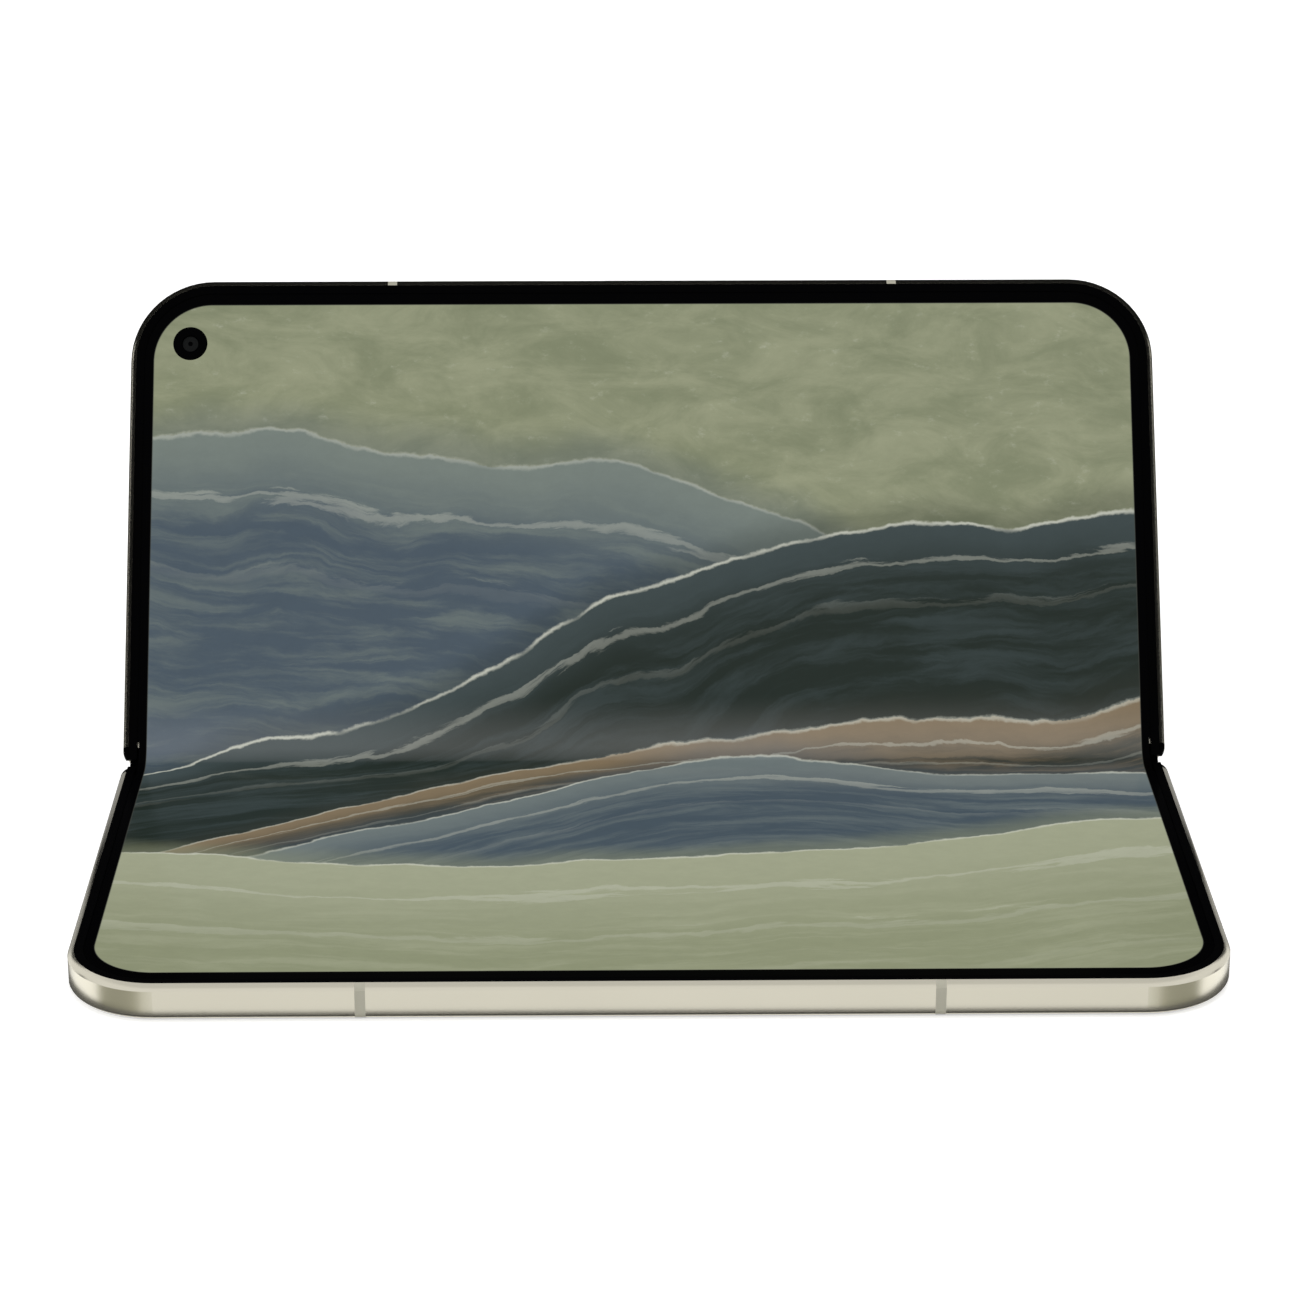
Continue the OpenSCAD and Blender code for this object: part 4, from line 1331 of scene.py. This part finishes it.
@dataclass(frozen=True)
class Optics:
    """A camera's barrel with its baffles and domed front element, seen through its window.

    Depths count from the outer face of the window, inwards. The barrel's back lies past depth by
    back. The end of its bore, and the crown and rim of the front element, lie short of depth by
    seat, crown and rim.
    """

    name: str
    x: float
    barrel: float
    pupil: float
    holder: float
    along: float = 59.0
    face: float = -6.68
    floor: float = -1.5
    depth: float = 1.9
    back: float = 0.4
    seat: float = 0.3
    crown: float = 0.72
    rim: float = 0.28
    wall: float = 0.9
    lip: Point = (0.15, 0.02)
    baffles: int = 4
    first_baffle: float = 0.1
    baffle_room: float = 0.5
    baffle_step: Point = (0.06, 0.22)
    holder_corner: float = 1.0
    dome_drop: float = 0.4
    dome_steps: int = 8
    corner_steps: int = 4

    def _at(self, depth: float) -> float:
        """Local z at a depth."""
        return self.face + depth

    def _barrel(self) -> list[Point]:
        """The barrel's section, with its baffles stepped down to the pupil.

        Returns:
            Radii and local z.
        """
        back, seat = self._at(self.depth + self.back), self._at(self.depth - self.seat)
        profile = [(0.0, back), (self.barrel, back), (self.barrel, self._at(self.lip[1])),
                   (self.barrel - self.lip[0], self.face)]
        bore = self.barrel - self.wall
        for k in range(self.baffles):
            radius = bore - (bore - self.pupil) * k / self.baffles
            start = self.first_baffle + (self.depth - self.baffle_room) * k / self.baffles
            profile += [(radius, self._at(start)),
                        (radius - self.baffle_step[0], self._at(start + self.baffle_step[1]))]
        return [*profile, (self.pupil, seat), (0.0, seat)]

    def _element(self) -> list[Point]:
        """The section of the domed front element.

        Returns:
            Radii and local z.
        """
        crown, rim = self.depth - self.crown, self._at(self.depth - self.rim)
        return [*((radius, self._at(crown + drop))
                  for radius, drop in dome(self.pupil, self.dome_steps, self.dome_drop)),
                (self.pupil * 0.98, rim), (0.0, rim)]

    def _holder(self) -> list[Point]:
        """The outline of the square holder, with round corners.

        Returns:
            Its local x and y.
        """
        radius = self.holder_corner
        reach = self.holder / 2 - radius
        corners = ((1, 1), (-1, 1), (-1, -1), (1, -1))
        return [point for turn, (sx, sy) in enumerate(corners)
                for point in arc((self.x + sx * reach, self.along + sy * reach), radius,
                                 90 * turn, 90, self.corner_steps)]

    def build(self) -> None:
        """Turns the barrel and its element, with the square holder behind it."""
        maker = Mesher(self.name + "_optics", LAYOUT.upper)
        centre = (self.x, self.along)
        maker.turn(self._barrel(), centre, steps=64)
        maker.loft([[(x, y, z) for x, y in self._holder()]
                    for z in (self._at(self.depth + self.back), self.floor)])
        maker.turn(self._element(), centre, finish=1)
        mount(maker.done(Palette.BARREL, Palette.COATING), Body.UPPER, "module_black", self.name)


@dataclass(frozen=True)
class RearCameras:
    """The three rear cameras, their windows and their flash."""

    cameras: tuple[Optics, ...] = (
        Optics("main_camera", -57.0, 4.2, 1.9, 12.4),
        Optics("wide_camera", -40.0, 3.6, 1.3, 10.5),
        Optics("tele_camera", -23.0, 3.9, 1.5, 11.5),
    )
    along: float = 59.0
    island: float = -6.7
    stand_out: float = 0.4
    window: float = 5.37
    glass: float = 0.3
    window_edge: Point = (0.12, 0.1)
    print_depths: Point = (0.31, 0.38)
    print_inside: float = 0.5
    flash_x: float = -31.5
    flash_radius: float = 1.5
    flash_rim: float = 1.57
    flash_depths: Triple = (0.02, 0.1, 1.2)
    flash_ribs: int = 7
    rib_width: float = 0.02

    def _windows(self) -> None:
        """Clear windows with a black print round the sight of each camera."""
        windows = Mesher("lens_windows", LAYOUT.upper)
        prints = Mesher("lens_prints", LAYOUT.upper)
        top = self.island - self.stand_out
        back = top + self.glass
        front, rear = (top + depth for depth in self.print_depths)
        for camera in self.cameras:
            centre, sight = (camera.x, self.along), camera.barrel - self.print_inside
            windows.turn([(0.0, top), (self.window - self.window_edge[0], top),
                          (self.window, top + self.window_edge[1]), (self.window, back),
                          (0.0, back)], centre, steps=72)
            prints.turn([(sight, front), (self.window, front), (self.window, rear), (sight, rear)],
                        centre, steps=72)
        mount(windows.done(Palette.CLEAR), Body.UPPER, "cover_glass", "lens_glasses")
        mount(prints.done(Palette.BLACK), Body.UPPER, "bezel_black")

    def _flash(self) -> None:
        """A ribbed flash lens in a thin bezel."""
        high, low, back = (self.island + depth for depth in self.flash_depths)
        profile = [(0.0, high)]
        for k in range(1, self.flash_ribs + 1):
            radius = self.flash_radius * k / (self.flash_ribs + 1)
            profile += [(radius, high), (radius + self.rib_width, low)]
        maker = Mesher("flash_optic", LAYOUT.upper)
        maker.turn([*profile, (self.flash_rim, high), (self.flash_rim, back), (0.0, back)],
                   (self.flash_x, self.along), steps=40)
        mount(maker.done(Palette.FLASH, smooth=20), Body.UPPER, "flash", "flash_lens")

    def build(self) -> None:
        """Builds the cameras, windows and flash."""
        for camera in self.cameras:
            camera.build()
        self._windows()
        self._flash()


@dataclass(frozen=True)
class InnerCamera:
    """The camera in the screen's punched hole: a black collar round a small lens.

    The sections are radii, and depths below the collar's top.
    """

    centre: Point = (-68.6, 65.2)
    radius: float = 2.57
    top: float = -0.17
    back: float = -0.79
    collar: Section = ((1.45, 0.0), (1.32, 0.06), (1.22, 0.3), (0.0, 0.3))
    disc: Section = ((0.0, 0.1), (0.34, 0.11), (0.38, 0.16), (0.0, 0.16))
    lens: float = 1.18
    lens_depths: Point = (0.12, 0.31)
    dome_drop: float = 0.3
    dome_steps: int = 7

    def _below(self, *profile: Point) -> list[Point]:
        """A section from radii and depths below the collar's top."""
        return [(radius, self.top - depth) for radius, depth in profile]

    def build(self) -> None:
        """Turns the collar, the lens and the dark disc in its middle."""
        maker = Mesher("inner_camera_lens", LAYOUT.upper)
        collar = self._below((self.radius, 0.0), *self.collar)
        maker.turn([(0.0, self.back), (self.radius, self.back), *collar], self.centre, steps=64)
        front, back = self.lens_depths
        crown = [(radius, front + drop)
                 for radius, drop in dome(self.lens, self.dome_steps, self.dome_drop)]
        maker.turn(self._below(*crown, (self.lens, back), (0.0, back)), self.centre, finish=1)
        maker.turn(self._below(*self.disc), self.centre, steps=32, finish=2)
        piece = maker.done(Palette.BLACK, Palette.PUPIL, Palette.BLACK)
        mount(piece, Body.UPPER, "cover_glass", "inner_camera_window")


# ---- keys ----------------------------------------------------------------------------


@dataclass(frozen=True)
class SideKey:
    """A side key with a softly crowned, bevelled face.

    The crown is drawn in by its first number at a depth of its second below the face.
    """

    name: str
    body: Body
    centre: float
    length: float
    room: float
    height: float = 2.0
    level: float = -2.55
    stand_out: float = 0.3
    crown: Section = ((0.53, 0.0), (0.3, 0.012), (0.072, 0.06), (0.05, 0.13), (0.0, 0.2))
    wall: float = 2.2
    flange: float = 0.6
    flange_half_height: float = 1.0
    flange_depth: float = 0.75

    def _loop(self, outline: list[Point], y: float) -> list[Triple]:
        """An outline about the key's middle, at a distance from the hinge line."""
        return [(self.centre + x, y, self.level + z) for x, z in outline]

    def build(self) -> None:
        """Lofts the key from its crowned face to the flange behind the wall."""
        face = LAYOUT.half_length + self.stand_out
        inside = LAYOUT.half_length - self.wall
        back = inside - self.room
        maker = Mesher(self.name + "_face", LAYOUT.upper)
        maker.loft([self._loop(round_slot(self.length - 2 * inset, self.height - 2 * inset),
                               face - down) for inset, down in (*self.crown, (0.0, face - back))])
        half, up = self.length / 2 + self.flange, self.flange_half_height
        flange = [(-half, -up), (half, -up), (half, up), (-half, up)]
        maker.loft([self._loop(flange, y) for y in (back, inside - self.flange_depth)])
        mount(maker.done(Palette.FRAME), self.body, "frame_metal", self.name)


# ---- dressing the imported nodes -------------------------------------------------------


@dataclass(frozen=True)
class Dressing:
    """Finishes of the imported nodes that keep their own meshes."""

    finishes: dict[Palette, str] = field(default_factory=lambda: {
        Palette.FRAME: "lower_frame upper_frame sim_tray camera_island power_button volume_rocker",
        Palette.SPINE: "spine_cover",
        Palette.LENS_RING: "lens_rings",
        Palette.BAND: "lower_antenna_bands upper_antenna_bands",
        Palette.BEZEL: "lower_bezel_trim upper_bezel_trim spine_end_caps",
        Palette.BACK: "back_glass",
        Palette.COVER: "cover_glass lens_glasses inner_camera_window",
        Palette.FLASH: "flash_lens",
        Palette.CARRIER: "display_plate_lower display_plate_upper hinge_support_plate "
                         "board_shields",
        Palette.MODULE: "cover_display_panel cover_camera top_speaker main_camera wide_camera "
                        "tele_camera bottom_speaker inner_camera",
        Palette.POUCH: "battery_lower battery_upper",
        Palette.BOARD: "lower_board main_board charge_board",
        Palette.STEEL: "sim_reader vibration_motor magnets_lower magnets_upper detent_plates "
                       "hinge_brackets_lower hinge_brackets_upper bracket_screws_lower "
                       "bracket_screws_upper hinge_base_left hinge_base_right hinge_shafts "
                       "usb_port button_switches board_screws",
        Palette.SPRING: "disc_springs",
        Palette.GEAR: "swing_arms_lower swing_arms_upper idler_gears_lower idler_gears_upper",
        Palette.COPPER: "charging_coil",
        Palette.FLEX: "hinge_flex_cable",
        Palette.BLACK: "display_lower display_upper display_bend",
    })

    def dress(self) -> None:
        """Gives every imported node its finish."""
        for finish, names in self.finishes.items():
            finish.dress(*(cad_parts[name] for name in names.split()))
        plain = set(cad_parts) - {n for names in self.finishes.values() for n in names.split()}
        LOG.info("packed nodes dressed, left plain: %s", sorted(plain) or "none")


# ---- studio --------------------------------------------------------------------------


@dataclass(frozen=True)
class MirroredSky:
    """What polished surfaces mirror: a bright front and top, and a dark back and sides.

    Most fields are a soft step or a soft window along one part of the direction: its side is x
    without a sign, y points to the back and z up.
    """

    brightness: float = 0.82
    low: Window = (-0.62, -0.5, -0.16, -0.02)
    level: Window = (-0.30, -0.22, 0.06, 0.14)
    level_back: Point = (-0.05, 0.15)
    level_side: Point = (0.2, 0.32)
    glow: Window = (-0.2, -0.12, -0.06, 0.0)
    glow_back: Point = (0.72, 0.9)
    rear: Point = (0.8, 0.88)
    low_rear: Point = (-0.3, -0.22)
    low_rear_back: Point = (0.7, 0.86)
    beside: Colour = (0.97, 0.2, 0.06)
    beside_reach: Point = (0.07, 0.16)
    corner_side: Point = (0.12, 0.5)
    corner_front: Point = (-0.28, -0.1)
    ground: Point = (-0.8, -0.42)
    ground_front: Point = (-0.36, -0.2)
    hot_side: Point = (0.45, 0.6)
    hot_back: Window = (-0.2, -0.05, 0.5, 0.8)
    front: Point = (-0.9, -0.6)
    top: Point = (0.7, 0.9)
    white: Colour = (1.0, 1.0, 1.0)
    olive: Colour = (1.0, 1.0, 0.82)

    def draw(self, graph: Graph) -> Term:
        """Draws the colour mirrored in each direction.

        Args:
            graph: The world's nodes.

        Returns:
            The colour.
        """
        x, y, z = graph.parts(graph.places("Generated"))
        side = x.size()
        low = z.window(*self.low)
        glow = y.step(*self.glow_back) * z.window(*self.glow)
        level = y.step(*self.level_back) * z.window(*self.level)
        level = level * (1.0 - glow * 0.45) * side.fall(*self.level_side)
        low_rear = y.step(*self.low_rear_back) * z.fall(*self.low_rear)
        away = graph.vector("SUBTRACT", graph.joined(side, y, z), self.beside)
        beside = graph.length(away).fall(*self.beside_reach)
        corner = low * side.step(*self.corner_side) * y.fall(*self.corner_front)
        ground = z.fall(*self.ground) * y.fall(*self.ground_front)
        dark = corner * 0.6
        for zone in (level, beside, y.step(*self.rear) * 0.6, low_rear * 0.9, ground * 0.85):
            dark = graph.math("MAXIMUM", dark, zone)
        hot = low * side.step(*self.hot_side) * y.window(*self.hot_back)
        front = low * y.fall(*self.front)
        bright = hot * 0.45 + front * 0.16 - z.step(*self.top) * 0.22 + 1.0
        bright = (1.0 - dark) * bright * self.brightness
        return graph.vector("MULTIPLY", graph.mix(corner, self.white, self.olive),
                            graph.joined(bright, bright, bright))


@dataclass(frozen=True)
class Studio:
    """A pale floor, soft lights, a shaded sky for the metal to mirror, and the camera.

    The camera's place and the flags are in millimetres, the floor and the lamps in metres.
    """

    camera_place: Triple = (-5.28, -486.64, 225.11)
    yaw: float = math.radians(0.661)
    pitch: float = math.radians(21.103)
    lens: float = 105.73
    sky: float = 0.6
    floor_size: float = 6.0
    floor_level: float = -0.0002
    floor_lift: float = 0.5
    aim: Triple = (0.0, 0.02, 0.02)
    film: float = 36.0
    clip: Point = (0.01, 50.0)
    lamps: tuple[tuple[str, Triple, float, float], ...] = (
        ("overhead", (0.1, -0.15, 1.1), 0.7, 3.0), ("front left", (-0.9, -0.9, 0.8), 0.6, 4.0))
    top_flag: Section = ((-130, 55), (130, 55), (130, 135), (-130, 135))
    top_flag_z: float = 125.0
    back_flag: Section = ((-220, 52), (220, 52), (220, 150), (-220, 150))
    back_flag_y: float = 135.0
    near_flag: Section = ((-3, -1), (72, -1), (72, -10), (115, -10), (115, 32), (-3, 32))
    far_flag: Section = ((4, -29), (100, -29), (100, -8.5), (4, -8.5))
    side_flags: Point = (90.0, 105.0)
    foot_insets: Point = (0.3, -2.8)
    foot_start: float = 3.0
    foot_drop: float = 0.1
    foot_shade: float = 0.14

    def _camera(self) -> None:
        """Sets the camera where the photograph was taken from."""
        data = bpy.data.cameras.new("camera")
        data.lens, data.sensor_width = self.lens, self.film
        data.clip_start, data.clip_end = self.clip
        ahead = Vector((math.sin(self.yaw) * math.cos(self.pitch),
                        math.cos(self.yaw) * math.cos(self.pitch), -math.sin(self.pitch)))
        right = Vector((math.cos(self.yaw), -math.sin(self.yaw), 0))
        turn = Matrix((right, right.cross(ahead), -ahead)).transposed().to_4x4()
        camera = placed("camera", data)
        camera.matrix_world = Matrix.Translation(Vector(self.camera_place) * MM) @ turn
        bpy.context.scene.camera = camera

    def _seen(self, graph: Graph) -> Term:
        """1 where the camera looks, also through clear glass, and 0 elsewhere."""
        path = graph.node("ShaderNodeLightPath").outputs
        return graph.math("MAXIMUM", path["Is Camera Ray"], path["Is Transmission Ray"])

    def _stage(self, name: str, corners: Points, material: bpy.types.Material,
               faces: Sequence[Sequence[int]] = ()) -> Piece:
        """A plain mesh that belongs to the studio.

        Args:
            name: Its name.
            corners: Its corners in metres, in order round it.
            material: Its material.
            faces: Its faces, where it has more than one.

        Returns:
            The object.
        """
        data = bpy.data.meshes.new(name)
        data.from_pydata([tuple(c) for c in corners], [], faces or [tuple(range(len(corners)))])
        data.materials.append(material)
        made = placed(name, data)
        return made

    def _floor(self) -> None:
        """Lays the pale floor, which keeps the phone's soft shadow."""
        graph = Graph(bpy.data.materials.new("pale floor"))
        pale = graph.wired("ShaderNodeBsdfDiffuse", Color=(0.9, 0.9, 0.9))
        lift = graph.wired("ShaderNodeEmission", Strength=self._seen(graph) * self.floor_lift)
        corners = [(sx * self.floor_size, sy * self.floor_size, self.floor_level)
                   for sx, sy in ((-1, -1), (1, -1), (1, 1), (-1, 1))]
        card = graph.end(graph.wired("ShaderNodeAddShader", pale, lift))
        floor = self._stage("floor", corners, card)
        floor.visible_glossy = False

    def _world(self) -> None:
        """Lights the scene with an even pale sky, seen as pure white."""
        world = bpy.data.worlds.new("studio")
        bpy.context.scene.world = world
        graph = Graph(world)
        path = graph.node("ShaderNodeLightPath").outputs
        glossy = graph.math("SUBTRACT", path["Is Glossy Ray"], path["Is Transmission Ray"],
                            clamp=True)
        plain = self._seen(graph) * (1.0 - self.sky) + self.sky
        colour = graph.mix(glossy, graph.joined(plain, plain, plain), MirroredSky().draw(graph))
        graph.end(graph.wired("ShaderNodeBackground", Color=colour))

    def _light(self, name: str, place: Sequence[float], size: float, power: float) -> None:
        """A square soft light that points at the phone.

        Args:
            name: Its name.
            place: Where it stands.
            size: Its side.
            power: In watts.
        """
        data = bpy.data.lights.new(name, "AREA")
        data.shape, data.size, data.energy = "SQUARE", size, power
        lamp = placed(name, data)
        lamp.location = place
        lamp.rotation_mode = "QUATERNION"
        lamp.rotation_quaternion = (Vector(self.aim) - Vector(place)).to_track_quat("-Z", "Y")
        lamp.visible_glossy = False

    def _flag(self, name: str, corners: Points,
              faces: Sequence[Sequence[int]] = (), shade: float = 0.0) -> None:
        """A dark card that only mirrors see, as metal mirrors the dark parts of a studio; round the
        foot it is painted shadow in place of the shaded floor.

        Args:
            name: The flag's name.
            corners: Its corners in metres, in order round it.
            faces: Its faces, where it has more than one.
            shade: How pale it is.
        """
        graph = Graph(bpy.data.materials.new(name))
        card = graph.close(Base_Color=(shade, shade, shade), Roughness=1.0, Specular_IOR_Level=0.0)
        flag = self._stage(name, corners, card, faces)
        flag.visible_camera = flag.visible_diffuse = False
        flag.visible_shadow = flag.visible_transmission = False

    def _flags(self) -> None:
        """Sets flags over, behind and beside the leaning half, and a ring of painted shadow round
        the other's foot, which mirrors see in place of the floor's contact shadow.
        """
        self._flag("flag_top", [in_metres(x, y, self.top_flag_z) for x, y in self.top_flag])
        self._flag("flag_back", [in_metres(x, self.back_flag_y, z) for x, z in self.back_flag])
        near, far = self.side_flags
        for side, hand in ((-1, "left"), (1, "right")):
            for name, x, flag in (("near", near, self.near_flag), ("far", far, self.far_flag)):
                self._flag(f"flag_{name}_{hand}", [LAYOUT.upper(x * side, a, z) for a, z in flag])
        # Painted shadow: a dark ring at the foot of the lower half, which mirrors see where the
        # floor would lie in the phone's contact shadow.
        inner, outer = (LAYOUT.outline(inset, self.foot_start) for inset in self.foot_insets)
        count = len(inner)
        under = -LAYOUT.thickness - self.foot_drop
        foot = [LAYOUT.lower(x, y, under) for x, y in (*inner, *outer)]
        ring = [(i, (i + 1) % count, count + (i + 1) % count, count + i) for i in range(1, count)]
        self._flag("flag_foot", foot, ring, self.foot_shade)

    def build(self) -> None:
        """Sets up the studio."""
        self._camera()
        self._flags()
        self._world()
        self._floor()
        for lamp in self.lamps:
            self._light(*lamp)
        bpy.context.scene.view_settings.view_transform = "Standard"
        LOG.info("studio set")


def main() -> None:
    """Builds the studio, the finishes and the pieces in order."""
    logging.basicConfig(level=logging.INFO, format="%(name)s: %(message)s")
    Studio().build()
    Dressing().dress()
    FoldingScreen().build()
    HingeRibbon().build()
    RearCameras().build()
    InnerCamera().build()
    SideKey("power_button", Body.POWER, -1.25, 10.5, 0.05).build()
    SideKey("volume_rocker", Body.VOLUME, -24.0, 20.0, 0.3).build()
    ChargingCoil().build()
    Contacts().build()
    GrilleMesh("speaker_mesh", Body.UPPER, 1, (49, 52, 55, 58, 61)).build()
    GrilleMesh("earpiece_mesh", Body.LOWER, -1, (55, 58, 61)).build()


if __name__ == "__main__":
    main()
